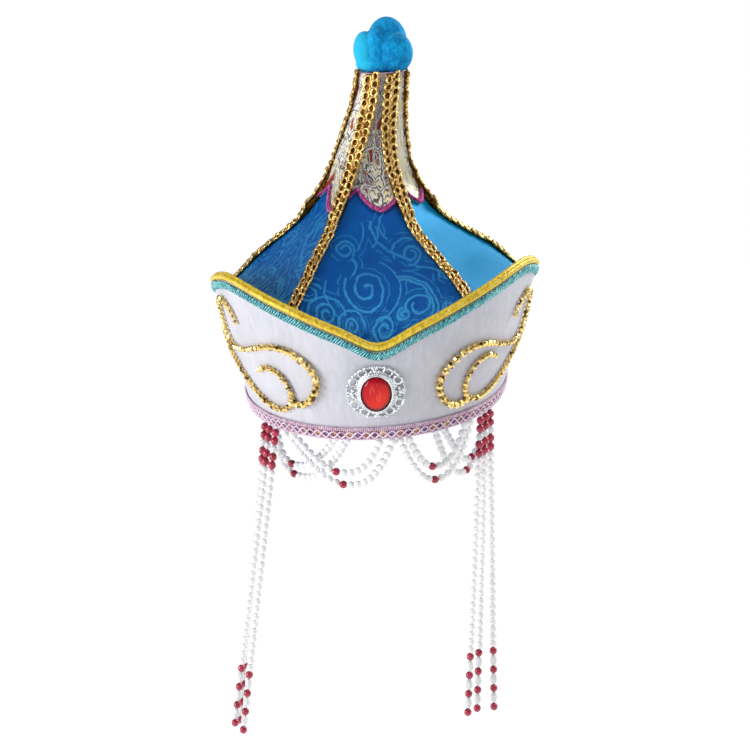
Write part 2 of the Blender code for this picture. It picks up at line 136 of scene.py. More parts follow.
def panel_place(azimuth):
    """Place across a roof panel: 0 at its middle and 1 at a seam."""
    at = (azimuth - SEAMS[0]) % 360 + SEAMS[0]
    for low, high in PANELS:
        if low <= at <= high:
            return abs(at - (low + high) / 2) / ((high - low) / 2)
    return 1.0


def level_point(azimuth, height):
    """A point of the free roof or neck, above the shoulder."""
    radius, oval, centre, gather = (smooth_table(CROWN_LEVELS, height / MM, k) for k in (1, 2, 3, 4))
    flat = 1 - PANEL_FLATNESS * (1 - panel_place(azimuth) ** 2)
    a = math.radians(azimuth - gather * math.sin(math.radians(azimuth)))
    x = centre + radius * flat * math.sin(a)
    return Vector((x * MM, -radius * flat * oval * math.cos(a) * MM, height))


def height_at(rise):
    return SHOULDER + (rise - ROOF_SPLIT) / (1 - ROOF_SPLIT) * (NECK_TOP - SHOULDER)


def rise_at(height):
    return ROOF_SPLIT + (1 - ROOF_SPLIT) * (height - SHOULDER) / (NECK_TOP - SHOULDER)


def roof_point(azimuth, rise):
    """A point of the crown's outer face: rise is 0 at the band and 1 at the neck's top."""
    if rise >= ROOF_SPLIT:
        return level_point(azimuth, height_at(rise))
    seat = smooth_table(SEAT_EDGE, abs(turn(azimuth))) * MM
    foot = band_point(azimuth, seat, -BAND_WALL - GAP)
    shoulder = level_point(azimuth, SHOULDER)
    part = rise / ROOF_SPLIT
    out = Vector((shoulder.x, shoulder.y, 0)).normalized()
    front = abs(math.cos(math.radians(azimuth)))
    return foot.lerp(shoulder, part) + out * (ROOF_BULGE * front * 4 * part * (1 - part))


def roof_frame(azimuth, rise):
    """Point, outward normal and sideways direction on the crown."""
    low, high = max(rise - NEARBY, 0), min(rise + NEARBY, 1)
    across = roof_point(azimuth + HALF_DEGREE, rise) - roof_point(azimuth - HALF_DEGREE, rise)
    along = roof_point(azimuth, high) - roof_point(azimuth, low)
    return roof_point(azimuth, rise), across.cross(along).normalized(), across.normalized()


def roof_offset(azimuth, rise, distance):
    point, normal, _ = roof_frame(azimuth, rise)
    return point + normal * distance


print("crown from", roof_point(0, 0), "to", roof_point(0, 1))

# %% [markdown]
# ## Helpers for meshes
#
# Cloth is cut flat and then laid in place, and so are most pieces here. `lay` makes a flat grid
# with an operator, gives it a UV map in millimetres while it is flat, and moves every point to
# its place on the cap. A projected map would stretch on such a steep crown, while this one keeps
# a woven pattern to scale. Where both ends of a grid meet, doubles are merged, so that the piece
# is closed.

# %% Lay a flat grid on the cap


def lay(bm, columns, rows, place, flat):
    """A grid over u and v from 0 to 1, moved to place(u, v). flat(u, v) is its UV in mm."""
    made = bmesh.ops.create_grid(bm, x_segments=columns, y_segments=rows, size=0.5)
    layer = bm.loops.layers.uv.verify()
    for face in {face for vert in made["verts"] for face in vert.link_faces}:
        for loop in face.loops:
            loop[layer].uv = flat(loop.vert.co.x + 0.5, loop.vert.co.y + 0.5)
    for vert in made["verts"]:
        vert.co = place(vert.co.x + 0.5, vert.co.y + 0.5)


def strip(width, height):
    return lambda u, v: (width * u, height * v)


def close_core(bm, capped=False):
    """Close the ribbon laid so far and give it the second material."""
    bmesh.ops.remove_doubles(bm, verts=bm.verts, dist=1e-6)
    if capped:
        bmesh.ops.holes_fill(bm, edges=[edge for edge in bm.edges if edge.is_boundary])
    bmesh.ops.recalc_face_normals(bm, faces=bm.faces)
    for face in bm.faces:
        face.material_index = 1


def finish_piece(name, bm, materials, nodes, smooth=True, merge=True):
    """Close the seams, point the faces out, and put the piece in the scene."""
    if merge:
        bmesh.ops.remove_doubles(bm, verts=bm.verts, dist=1e-6)
        bmesh.ops.recalc_face_normals(bm, faces=bm.faces)
    mesh = bpy.data.meshes.new(name)
    bm.to_mesh(mesh)
    bm.free()
    if smooth:
        mesh.shade_smooth()
    piece = bpy.data.objects.new(name, mesh)
    bpy.context.collection.objects.link(piece)
    for material in materials:
        mesh.materials.append(material)
    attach(piece, "root")
    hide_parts(*nodes)
    print(name, len(mesh.polygons), "faces")
    return piece


# %% Small helpers for places and balls


def turned(x, y, z):
    """The turn that lays a shape's own axes along these directions."""
    return Matrix((x, y, z)).transposed().to_4x4()


def distances(points):
    """How far along the row each point lies."""
    walked = [0.0]
    for here, following in zip(points, points[1:]):
        walked.append(walked[-1] + (following - here).length)
    return walked


def ball(bm, matrix, radius, detail=1):
    bmesh.ops.create_icosphere(bm, subdivisions=detail, radius=radius, matrix=matrix)


# %% [markdown]
# ## Helpers for finishes
#
# A finish is a small recipe of shader nodes. Painted pictures would blur close up and need a
# file, while a recipe is sharp at any size. Adding nodes one by one is long to read, so a `Value`
# wraps a socket and lets plain sums add the Math nodes, and `Finish.node` adds any other node
# from its settings and inputs.

# %% Shader sums


class Value:
    """A number or colour inside a finish, which can be added, multiplied and so on."""

    def __init__(self, finish, socket):
        self.finish, self.socket = finish, socket

    def math(self, operation, *others):
        node = self.finish.node("ShaderNodeMath", {"operation": operation}, {})
        for place, value in zip(node.inputs, (self, *others)):
            self.finish.put(place, value)
        return Value(self.finish, node.outputs[0])

    def __add__(self, other):
        return self.math("ADD", other)

    def __sub__(self, other):
        return self.math("SUBTRACT", other)

    def __rsub__(self, other):
        return (self * -1).math("ADD", other)

    def __mul__(self, other):
        return self.math("MULTIPLY", other)

    def __truediv__(self, other):
        return self.math("DIVIDE", other)

    __radd__, __rmul__ = __add__, __mul__

    def ramp(self, low, high):
        """0 below low and 1 above high, with a soft step between; low may be the larger."""
        node = self.finish.node(
            "ShaderNodeMapRange",
            {"interpolation_type": "SMOOTHSTEP"},
            {"Value": self, "From Min": low, "From Max": high},
        )
        return Value(self.finish, node.outputs[0])

    def between(self, rise, fall):
        """1 between two soft edges, each given as where it starts and where it is complete."""
        return self.ramp(*rise) * self.ramp(*fall)

    def fold(self):
        """0 in the middle of every whole step and 0.5 at its ends."""
        return (self.math("FRACT") - 0.5).math("ABSOLUTE")


# %% Finishes


class Finish:
    """A material and short ways to add the nodes that it needs."""

    def __init__(self, name, roughness, metallic=0.0, **fixed):
        self.material = bpy.data.materials.new(name)
        self.material.use_nodes = True
        self.tree = self.material.node_tree
        self.shader = self.tree.nodes["Principled BSDF"]
        self.set(Roughness=roughness, Metallic=metallic)
        for key, value in fixed.items():
            self.shader.inputs[key.replace("_", " ")].default_value = value

    def put(self, socket, value):
        if isinstance(value, Value):
            self.tree.links.new(value.socket, socket)
        elif isinstance(value, bpy.types.NodeSocket):
            self.tree.links.new(value, socket)
        elif hasattr(value, "__len__") and len(value) == 3 and socket.type == "RGBA":
            socket.default_value = (*value, 1)
        else:
            socket.default_value = value

    def node(self, kind, settings, inputs):
        node = self.tree.nodes.new(kind)
        for key, value in settings.items():
            if key == "stops":
                while len(node.color_ramp.elements) < len(value):
                    node.color_ramp.elements.new(0.5)
                for element, (place, colour) in zip(node.color_ramp.elements, value):
                    element.position, element.color = place, (*colour, 1)
            else:
                setattr(node, key, value)
        for key, value in inputs.items():
            self.put(node.inputs[key], value)
        return node

    def set(self, **inputs):
        for key, value in inputs.items():
            self.put(self.shader.inputs[key.replace("_", " ")], value)

    def uv(self):
        """The piece's own UV map, in millimetres, as two values."""
        return self.split(self.node("ShaderNodeUVMap", {}, {}).outputs[0])[:2]

    def here(self):
        """The place on the object, in metres, as a vector."""
        return self.node("ShaderNodeTexCoord", {}, {}).outputs["Object"]

    def split(self, vector):
        node = self.node("ShaderNodeSeparateXYZ", {}, {0: vector})
        return [Value(self, output) for output in node.outputs]

    def join(self, x, y, z=0.0):
        return self.node("ShaderNodeCombineXYZ", {}, {0: x, 1: y, 2: z}).outputs[0]

    def noise(self, vector, scale, detail=2.0, output="Fac"):
        node = self.node("ShaderNodeTexNoise", {}, {"Vector": vector, "Scale": scale, "Detail": detail})
        return Value(self, node.outputs[output])

    def mix(self, share, first, second):
        node = self.node("ShaderNodeMix", {"data_type": "RGBA"}, {0: share, 6: first, 7: second})
        return Value(self, node.outputs[2])

    def colours(self, value, stops):
        return Value(self, self.node("ShaderNodeValToRGB", {"stops": stops}, {0: value}).outputs[0])

    def bump(self, height, depth, strength):
        node = self.node("ShaderNodeBump", {}, {"Strength": strength, "Distance": depth, "Height": height})
        self.put(self.shader.inputs["Normal"], Value(self, node.outputs[0]))


# %% [markdown]
# ## The crown's brocade
#
# A jacquard loom floats lighter weft over a dark satin ground, here as scrolls and clouds. A
# scroll is a spiral drawn in an oval, and an arch is a spiral of part of a turn, so one table of
# ovals gives them all. Noise alone would give clouds with no drawing in them. A point's distance
# from the nearest line colours the cloth, and fainter lines run beside the first. The loom's
# repeat isn't exact on worn cloth, so the drawing wanders a little.

# %% Scrolls of the brocade
BROCADE_SCROLLS = [  # middle x and y in mm, half width, half height, first angle, turns, gap, hand
    (-8, 45, 14.0, 20.0, 150, 2.0, 0.46, 1), (-18, 80, 6.0, 8.5, -45, 1.6, 0.42, 1),
    (-26, 66, 13.5, 14.0, 30, 0.2, 0.1, -1), (23, 72, 6.0, 9.5, -115, 1.6, 0.42, 1),
    (21, 76, 9.0, 11.0, 215, 0.42, 0.1, -1), (42, 103, 43.0, 42.0, 180, 0.18, 0.2, 1),
    (14, 22, 20.0, 31.0, 97, 0.33, 0.1, -1), (14, 22, 17.4, 28.2, 95, 0.31, 0.1, -1),
    (-8, 45, 21.0, 25.0, 60, 0.36, 0.02, -1), (23, 26, 8.5, 10.0, 185, 1.15, 0.5, -1),
    (13.5, 22.5, 4.0, 5.0, 90, 1.5, 0.5, 1), (-17, 17, 8.0, 11.0, 200, 0.55, 0.1, -1),
    (-17, 16, 4.0, 6.5, 200, 1.4, 0.55, -1), (1.7, 16, 7.0, 9.0, 240, 1.7, 0.45, -1),
    (-32, 22, 6.5, 10.0, 215, 1.5, 0.5, -1), (-32, 20, 11.5, 17.0, 190, 0.5, 0.1, -1),
    (39.7, 18, 3.6, 4.6, 100, 1.6, 0.5, 1), (22, 28, 26.0, 33.0, 85, 0.2, 0.08, -1),
    (-8, 45, 25.0, 31.0, 165, 0.17, 0.02, 1), (-24, 96, 18.0, 26.0, 15, 0.16, 0.02, -1),
    (-8, 93, 12.0, 16.0, 20, 0.2, 0.1, -1), (14, 99, 9.0, 13.0, 240, 0.3, 0.1, -1),
    (-43, 40, 8.0, 12.0, 20, 1.7, 0.42, 1), (43, 50, 6.0, 9.0, 200, 1.6, 0.45, -1),
]
LINE = 0.66  # half the width of a woven line, in mm
ECHO, RIPPLE = 4.6, 2.5  # mm from a line to its echo, and between ripples
DRIFT = 3.5  # mm that the drawing may wander
FAR = 40.0  # mm, past any line, where a spiral has ended


def scroll_distance(x, y):
    """Distance in mm from the nearest line of the scrolls."""
    nearest = None
    for middle, level, wide, tall, first, turns, gap, hand in BROCADE_SCROLLS:
        across, up = (x - middle) / wide, (y - level) / tall
        reach = (across * across + up * up).math("SQRT")
        angle = (up.math("ARCTAN2", across) * (hand / (2 * math.pi)) - hand * first / 360).math("FRACT")
        winding = (1 - reach) / gap - angle
        lap = winding.math("ROUND").math("MAXIMUM", 0.0)
        away = (winding - lap).math("ABSOLUTE") * (gap * (wide + tall) / 2)
        away = away + (lap + angle).math("GREATER_THAN", turns) * FAR
        nearest = away if nearest is None else nearest.math("MINIMUM", away)
    return nearest


def woven_lines(cloth, x, y, wear, left):
    """Share of light weft: scrolls, their echoes, ripples near the hem, and a wavy grain."""
    drift_x, drift_y, _ = cloth.split(cloth.noise(cloth.join(x, y), 0.16, 2.0, "Color"))
    away = scroll_distance(x + (drift_x - 0.5) * DRIFT, y + (drift_y - 0.5) * DRIFT)
    scrolls = away.ramp(LINE * 2.4, 0.0)
    echo = (away - ECHO).math("ABSOLUTE").ramp(LINE * 1.4, 0.0) * wear.ramp(0.36, 0.48) * 0.6
    ripple = (away / RIPPLE).fold().ramp(0.28, 0.5) * wear.ramp(0.38, 0.6)
    ripple = ripple * away.ramp(18.0, 5.0) * y.ramp(44.0, 16.0) * 0.8
    grain = (cloth.noise(cloth.join(x, y * 0.35), 0.07, 1.5) * 13).fold().ramp(0.16, 0.04)
    grain = grain * (left * 0.9 + y.ramp(26.0, 6.0) * 0.6).math("MINIMUM", 1.0)
    return scrolls.math("MAXIMUM", echo).math("MAXIMUM", ripple).math("MAXIMUM", grain)


# %% Blue brocade
LEFT_PANELS = (-0.46, -0.5), (-2.7, -2.62)  # radians from the front, at each side's soft edges
PAINTED_SHEEN_PANELS = (0.62, 0.68), (2.62, 2.54)
THREADS = 2.2  # a mm


def make_brocade():
    """Grained panels on the left, scrolls in front and behind, and plain ones on the right, painted paler
    and cyan with the satin's sheen.
    """
    cloth = Finish(
        "blue_brocade", 0.42, 0.3, Specular_IOR_Level=0.2,
        Sheen_Weight=0.35, Sheen_Roughness=0.3, Sheen_Tint=(0.05, 0.75, 0.85, 1),
    )
    x, y = cloth.uv()
    place_x, place_y, _ = cloth.split(cloth.here())
    round_the_head = place_x.math("ARCTAN2", place_y * -1)
    left, right = round_the_head.between(*LEFT_PANELS), round_the_head.between(*PAINTED_SHEEN_PANELS)
    speckle = cloth.noise(cloth.join(x, y), 1.5, 3.0)
    wear = cloth.noise(cloth.join(x, y), 0.12, 2.0)
    share = woven_lines(cloth, x, y, wear, left) * (speckle.ramp(0.36, 0.6) * 0.7 + 0.4)
    # Painted sheen: on the right panels the woven lines fade out.
    share = share * (1 - right * 0.8) * (1 - y.ramp(30.0, 75.0) * 0.35)
    turns = 2 * math.pi * THREADS
    weave = (x * turns).math("SINE") * (y * turns).math("SINE")
    ground = cloth.mix(wear, (0.0, 0.078, 0.36), (0.0, 0.125, 0.50))
    ground = cloth.mix(speckle.ramp(0.5, 0.75) * 0.35, ground, (0.0, 0.20, 0.58))
    # Painted sheen: the right panels' ground is a paler cyan.
    ground = cloth.mix(right * 0.9, ground, (0.0, 0.34, 0.68))
    cloth.set(Base_Color=cloth.mix(share, ground, (0.06, 0.44, 0.86)), Roughness=0.5 - share * 0.12)
    cloth.bump(weave * 0.25 + share * 0.8 + speckle * 0.5, 0.00012, 0.7)
    return cloth.material


blue_brocade = make_brocade()
print("brocade nodes:", len(blue_brocade.node_tree.nodes))

# %% [markdown]
# ## The crown
#
# Six panels of brocade over padding, sewn edge to edge, draw in to a tall neck. One grid round
# the whole crown would be simpler, but the pattern would then run on over the seams. So each
# panel is a grid of its own, with its pattern centred on it as on a cut gore, and neighbours
# share their seam's points. A Solidify modifier gives the cloth its wall.

# %% Crown panels
HEM_ROWS, PANEL_COLUMNS, ROOF_ROWS = 6, 22, 54
HEM_HEIGHT = 56.0  # mm, where a panel's pattern starts
HEM_SHARE = 0.1  # of a panel's way up that is hidden inside the band


def crown_place(azimuth, v):
    """From the hem inside the band, v 0 to 0.1, and on over the roof to the neck's top."""
    if v < HEM_SHARE:
        seat = smooth_table(SEAT_EDGE, abs(turn(azimuth))) * MM
        return band_point(azimuth, GAP + (seat - GAP) * v / HEM_SHARE, -BAND_WALL - GAP)
    return roof_point(azimuth, (v - HEM_SHARE) / (1 - HEM_SHARE))


def gore(low, high):
    """The flat cut of a panel: across from its middle line, and up along it, in mm."""
    steps = HEM_ROWS + ROOF_ROWS
    middle, left, right = (
        [crown_place(azimuth, k / steps) for k in range(steps + 1)]
        for azimuth in ((low + high) / 2, low, high)
    )
    reached = distances(middle)

    def flat(u, v):
        k = round(v * steps)
        return (u - 0.5) * (right[k] - left[k]).length / MM, reached[k] / MM - HEM_HEIGHT

    return flat


def make_crown():
    bm = bmesh.new()
    for low, high in PANELS:
        lay(
            bm, PANEL_COLUMNS, HEM_ROWS + ROOF_ROWS,
            lambda u, v, low=low, high=high: crown_place(low + (high - low) * u, v),
            gore(low, high),
        )
    crown = finish_piece("crown_cloth", bm, [blue_brocade], ["crown"])
    wall = crown.modifiers.new("wall", "SOLIDIFY")
    wall.thickness, wall.offset = 2 * MM, -1
    return crown


make_crown()

# %% [markdown]
# ## The velvet band
#
# The band is a stiff wall covered with short white pile, so that it stands up by itself. Real
# hairs would take millions of strands to look so even, and a soft bump with fine streaks gives
# the same nap. One grid runs all round the band and round its section, so its edges can be
# rounded as folded cloth is, which an extruded wall's wouldn't be.

# %% White velvet
BAND_SECTION = [  # share of the way, share of the height, distance out in mm
    (0.0, 0.0, -1.5), (0.03, 0.0, -0.5), (0.06, 0.006, -0.1), (0.1, 0.05, 0.0), (0.5, 0.93, 0.0),
    (0.54, 0.99, -0.15), (0.57, 1.0, -0.7), (0.62, 1.0, -2.4), (0.66, 0.985, -2.9),
    (0.7, 0.93, -3.0), (0.93, 0.05, -3.0), (0.97, 0.0, -2.6), (1.0, 0.0, -1.5),
]


def straight_table(rows, at, column):
    i = row_before(rows, at)
    t = max(0.0, min(1.0, (at - rows[i][0]) / (rows[i + 1][0] - rows[i][0])))
    return rows[i][column] * (1 - t) + rows[i + 1][column] * t


def make_velvet(name, dark, light, pile_scale, stroke):
    """Short pile: soft patches, fibres, and streaks this many times longer up than across."""
    pile = Finish(name, 0.85, 0.0, Sheen_Weight=0.1, Sheen_Roughness=0.5, Specular_IOR_Level=0.1)
    here = pile.here()
    x, y, z = pile.split(here)
    stretched = pile.join(x, y, z / stroke)
    patches = pile.noise(here, 45.0, 3.0)
    streaks = pile.noise(stretched, 420.0, 3.0)
    fibres = pile.noise(here, pile_scale, 4.0)
    share = (patches * 0.35 + streaks * 0.4 + fibres * 0.4).ramp(0.38, 0.76)
    pile.set(Roughness=0.95 - fibres * 0.15)
    pile.bump(fibres + streaks * 0.5 + patches * 0.8, 0.0004, 0.5)
    return pile, pile.mix(share, dark, light)


pile, tone = make_velvet(
    "white_velvet", (0.57, 0.57, 0.645), (0.70, 0.695, 0.76), pile_scale=1800.0, stroke=12.0
)
pile.set(Base_Color=tone)
white_velvet = pile.material
print("white velvet nodes:", len(white_velvet.node_tree.nodes))

# %% Band


def make_band():
    bm = bmesh.new()

    def place(u, v):
        azimuth = 360 * u - 180
        share, offset = (straight_table(BAND_SECTION, v, k) for k in (1, 2))
        return band_point(azimuth, share * band_top(azimuth), offset * MM)

    lay(bm, 300, 100, place, strip(620, 150))
    return finish_piece("band_velvet", bm, [white_velvet], ["band"])


make_band()

# %% [markdown]
# ## The piping
#
# Yellow satin is folded over a cord and sewn along the band's edge, and the fold's free edge
# stands up behind it as a thin lip. A curve with a round bevel would give the cord and leave out
# the lip. Instead the section is two rounds, a belly and a lip, and its outline is whichever of
# the two reaches further.

# %% Yellow satin


def make_satin():
    satin = Finish(
        "yellow_satin", 0.3, 0.25, Sheen_Weight=0.2, Sheen_Roughness=0.3, Sheen_Tint=(1, 0.8, 0.2, 1)
    )
    x, y = satin.uv()
    folds_and_painted_light = satin.noise(satin.join(x * 0.5, y * 0.25), 1.0, 2.0)
    weave = satin.noise(satin.join(x * 4.0, y), 3.0, 2.0)
    # Partly the satin's own tone, partly painted shade and highlight: the fold noise makes the colour dark
    # olive in the troughs and bright yellow on the crests.
    tone = satin.colours(folds_and_painted_light * 0.7 + weave * 0.3, [
        (0.34, (0.52, 0.31, 0.01)), (0.5, (0.88, 0.61, 0.03)), (0.64, (1.0, 0.82, 0.16)),
    ])
    satin.set(Base_Color=tone, Roughness=0.3 + weave * 0.2)
    satin.bump(folds_and_painted_light + weave * 0.25, 0.0006, 0.6)
    return satin.material


yellow_satin = make_satin()
print("satin nodes:", len(yellow_satin.node_tree.nodes))

# %% Piping
PIPING_RISE = 2.6 * MM  # the section's centre above the band's edge
PIPING_ROUNDS = [(0.25, -0.55, 1.85), (-0.75, 1.55, 0.95)]  # centre out, centre up, radius in mm


def piping_outline(angle):
    """Reach from the section's centre in this direction, over both rounds."""
    best = 0.0
    for out, up, radius in PIPING_ROUNDS:
        along = out * math.sin(angle) + up * math.cos(angle)
        aside = out * math.cos(angle) - up * math.sin(angle)
        if abs(aside) < radius:
            best = max(best, along + math.sqrt(radius * radius - aside * aside))
    return best * MM


def make_piping():
    bm = bmesh.new()

    def place(u, v):
        azimuth = 360 * u - 180
        a, angle = math.radians(azimuth), 2 * math.pi * v
        centre = band_point(azimuth, band_top(azimuth) + GAP + PIPING_RISE, -BAND_WALL / 2)
        out = Vector((math.sin(a), -math.cos(a), 0))
        reach = piping_outline(angle)
        return centre + out * (reach * math.sin(angle)) + Vector((0, 0, reach * math.cos(angle)))

    lay(bm, 420, 28, place, strip(640, 12))
    return finish_piece("piping_satin", bm, [yellow_satin], ["brim_piping"])


make_piping()

# %% [markdown]
# ## Gimp braids
#
# Gimp is a flat core wound round with shiny thread, so its face shows slanting strokes. A bump
# could draw the strokes, but the braid's edge would then be a straight line instead of a row of
# small bends. So a flat ribbon makes the core, and one long flattened coil makes the thread. The
# coil is a curve with a round bevel, which is then made a mesh. Hand-wound thread isn't even, so
# each winding leans and reaches a little differently.

# %% Thread finishes


def make_thread(name, dark, middle, light, metallic=0.35):
    thread = Finish(name, 0.35, metallic, Sheen_Weight=0.2, Sheen_Roughness=0.3)
    here = thread.here()
    glints = thread.noise(here, 900.0, 2.0)
    # Painted glints: the glint noise makes the thread's colour lighter and darker in spots.
    tone = thread.colours(glints * 0.75 + thread.noise(here, 160.0, 1.0) * 0.25, [
        (0.32, dark), (0.5, middle), (0.66, light),
    ])
    thread.set(Base_Color=tone, Roughness=0.5 - glints * 0.25)
    thread.bump(glints, 0.0002, 0.5)
    return thread.material


teal_thread = make_thread("teal_braid", (0.03, 0.26, 0.31), (0.16, 0.60, 0.64), (0.60, 0.94, 0.93))
# The teal core is painted dark, as the shade between the windings.
teal_shade_core = make_thread("teal_shade_core", (0.005, 0.07, 0.13), (0.015, 0.16, 0.23), (0.04, 0.3, 0.36))
magenta_thread = make_thread("magenta_braid", (0.28, 0.02, 0.13), (0.60, 0.06, 0.34), (0.92, 0.38, 0.68))
# The magenta core is painted dark, as the shade between the windings.
magenta_shade_core = make_thread("magenta_shade_core", (0.10, 0.003, 0.05), (0.22, 0.01, 0.12), (0.4, 0.04, 0.22))
lilac_thread = make_thread("lilac_braid", (0.60, 0.33, 0.52), (0.86, 0.64, 0.80), (0.98, 0.88, 0.95), 0.05)
print("thread nodes:", len(teal_thread.node_tree.nodes))

# %% A wound thread


def coil(name, turns, place, radius, sides=8):
    """A wound thread: place(share, angle) gives a point of the coil. Returns a mesh."""
    curve = bpy.data.curves.new(name, "CURVE")
    curve.dimensions = "3D"
    spline = curve.splines.new("POLY")
    count = turns * sides
    spline.points.add(count - 1)
    for i, point in enumerate(spline.points):
        point.co = (*place(i / count, 2 * math.pi * i / sides), 1)
    spline.use_cyclic_u = True
    curve.bevel_depth, curve.bevel_resolution = radius, 0
    stand = bpy.data.objects.new(name, curve)
    bpy.context.collection.objects.link(stand)
    mesh = bpy.data.meshes.new_from_object(stand.evaluated_get(bpy.context.evaluated_depsgraph_get()))
    bpy.data.objects.remove(stand)
    bpy.data.curves.remove(curve)
    return mesh


# %% A gimp braid
GIMP_THICK = 0.95 * MM
BAND_RADIUS = 95 * MM  # turns a lean in mm into degrees round the cap
WAVE_TURNS = 2.27  # windings in one wave of the braid's edge


def gimp(name, node, materials, turns, surface, width, slant, thread, wave=0.0):
    """A ribbon and its wound thread; surface(azimuth, across, out) gives a point of the braid."""
    bm = bmesh.new()

    def core(u, v):
        angle = 2 * math.pi * v
        across = 0.43 * width * math.cos(angle)
        return surface(360 * u - 180, across, GIMP_THICK * (0.5 + 0.35 * math.sin(angle)))

    lay(bm, 360, 8, core, strip(620, 10))
    close_core(bm)
    chance = random.Random(turns)
    uneven = [chance.uniform(-1, 1) for _ in range(turns + 1)]

    def wound(share, angle):
        loose = uneven[int(share * turns)]
        reach = 1 + wave * math.sin(2 * math.pi * share * turns / WAVE_TURNS) + 0.06 * loose
        across = (width / 2 - thread) * math.cos(angle) * reach
        azimuth = 360 * share - 180 + math.degrees((slant + 0.25 * loose) * across / BAND_RADIUS)
        return surface(azimuth, across, GIMP_THICK * (0.5 + 0.55 * math.sin(angle)))

    bm.from_mesh(coil(name + "_coil", turns, wound, thread))
    return finish_piece(name, bm, materials, [node], merge=False)


# %% Teal braid under the piping
BRIM_BRAID_WIDTH = 5.6 * MM


def brim_surface(azimuth, across, out):
    middle = band_top(azimuth) - BRIM_BRAID_WIDTH / 2
    return band_point(azimuth, middle + across, GAP + out)


gimp(
    "brim_gimp", "brim_braid", [teal_thread, teal_shade_core], turns=430,
    surface=brim_surface, width=BRIM_BRAID_WIDTH, slant=0.8, thread=0.45 * MM, wave=0.1,
)

# %% [markdown]
# ## The sleeve on the neck
#
# A second brocade, silver with gold leaves and red diamonds, wraps the neck. Voronoi cells make
# good petals: their edges are the dark outlines, each with a light border inside it, and chance
# picks the cells that are leaves or red. The cloth was pieced from strips that differ, so shares
# across it say which strip a point is on. Its lower edge is cut in scallops and bound with a
# magenta gimp, and the whole sleeve is turned a little from the seams.

# %% Petals of the silver brocade
PETALS = 0.15  # a mm
WOBBLE = 4.0  # mm that the petals are pushed about
SAW_WIDTH, SAW_DEPTH, SAW_PITCH = 3.4, 5.0, 3.6  # mm, of the leaves' saw edges


def petals(cloth, x, y):
    """Distance from the nearest petal's edge, and a number by chance for each petal."""
    flat = cloth.join(x, y * 0.7)
    drift = cloth.noise(flat, 0.3, 2.0, "Color").socket
    drift = cloth.node("ShaderNodeVectorMath", {"operation": "SCALE"}, {0: drift, "Scale": WOBBLE})
    flat = cloth.node("ShaderNodeVectorMath", {"operation": "ADD"}, {0: flat, 1: drift.outputs[0]})
    where = {"Vector": flat.outputs[0], "Scale": PETALS}
    edges = cloth.node("ShaderNodeTexVoronoi", {"feature": "DISTANCE_TO_EDGE"}, where)
    cells = cloth.node("ShaderNodeTexVoronoi", {"feature": "F1"}, where)
    return Value(cloth, edges.outputs["Distance"]), cloth.split(cells.outputs["Color"])[0]


def silver_ground(cloth, x, y, grain, front):
    """Speckled silver that is darker and browner on the front strip."""
    ground = cloth.mix(grain.ramp(0.4, 0.6), (0.36, 0.31, 0.36), (0.86, 0.84, 0.82))
    ground = cloth.mix(front * 0.6, ground, (0.29, 0.22, 0.25))
    dark = cloth.noise(cloth.join(x, y), 0.7, 3.0).ramp(0.5, 0.55) * (0.35 + front * 0.6)
    ground = cloth.mix(dark, ground, (0.02, 0.018, 0.02))
    brown = cloth.noise(cloth.join(x, y), 0.28, 1.0).ramp(0.55, 0.6) * (0.2 + front * 0.6)
    return cloth.mix(brown, ground, (0.27, 0.12, 0.05))


# %% Silver brocade
FRONT_STRIP = (53.0, 56.0), (77.0, 75.0)  # mm round the sleeve, at each strip's soft edges
RIGHT_STRIP = (75.0, 77.0), (97.0, 95.0)
TOP_STRIP = (76.0, 77.5)  # mm up the sleeve, where the plain lilac strip begins


def make_silver():
    """Petals on the left, speckled lilac with saw-edged leaves in front, and cream on the right."""
    cloth = Finish("silver_brocade", 0.4, 0.2, Specular_IOR_Level=0.3)
    x, y = cloth.uv()
    edge, chance = petals(cloth, x, y)
    grain = cloth.noise(cloth.join(x, y), 0.6, 3.0)
    front, right = x.between(*FRONT_STRIP), x.between(*RIGHT_STRIP)
    saw = (y + (x / SAW_WIDTH).fold() * SAW_DEPTH) / SAW_PITCH
    leaves = saw.fold().ramp(0.34, 0.26) * chance.math("LESS_THAN", 0.55)
    leaves = leaves * (1 - front * y.ramp(24.0, 34.0) * 0.8)
    tone = cloth.mix(leaves * 0.9, silver_ground(cloth, x, y, grain, front), (0.84, 0.76, 0.42))
    tone = cloth.mix(edge.ramp(0.15, 0.1) * 0.9, tone, (0.80, 0.79, 0.74))
    tone = cloth.mix(edge.ramp(0.06, 0.025) * 0.9, tone, (0.05, 0.03, 0.012))
    red = (chance + x.ramp(56.0, 50.0) * 0.12).math("GREATER_THAN", 0.82) * edge.ramp(0.1, 0.16)
    tone = cloth.mix(red, tone, (0.27, 0.035, 0.015))
    streaks = cloth.noise(cloth.join(x, y * 0.12), 0.9, 2.0).ramp(0.42, 0.58)
    cream = cloth.mix(y.ramp(34.0, 16.0), (0.95, 0.93, 0.84), (0.42, 0.41, 0.41))
    tone = cloth.mix(right * 0.85, tone, cloth.mix(streaks, (0.74, 0.66, 0.33), cream))
    tone = cloth.mix(y.ramp(*TOP_STRIP), tone, (0.62, 0.44, 0.46))
    cloth.set(Base_Color=tone, Roughness=0.45 - leaves * 0.15)
    cloth.bump(leaves + grain * 0.5, 0.0003, 0.7)
    return cloth.material


silver_brocade = make_silver()
print("silver brocade nodes:", len(silver_brocade.node_tree.nodes))

# %% Sleeve
SCALLOP_TIP, SCALLOP_SEAM, SLEEVE_TURN = 123.5 * MM, 136.5 * MM, 12
SLEEVE_OUT = 1.3 * MM


def scallop(azimuth):
    return SCALLOP_TIP + (SCALLOP_SEAM - SCALLOP_TIP) * panel_place(azimuth - SLEEVE_TURN) ** 1.5


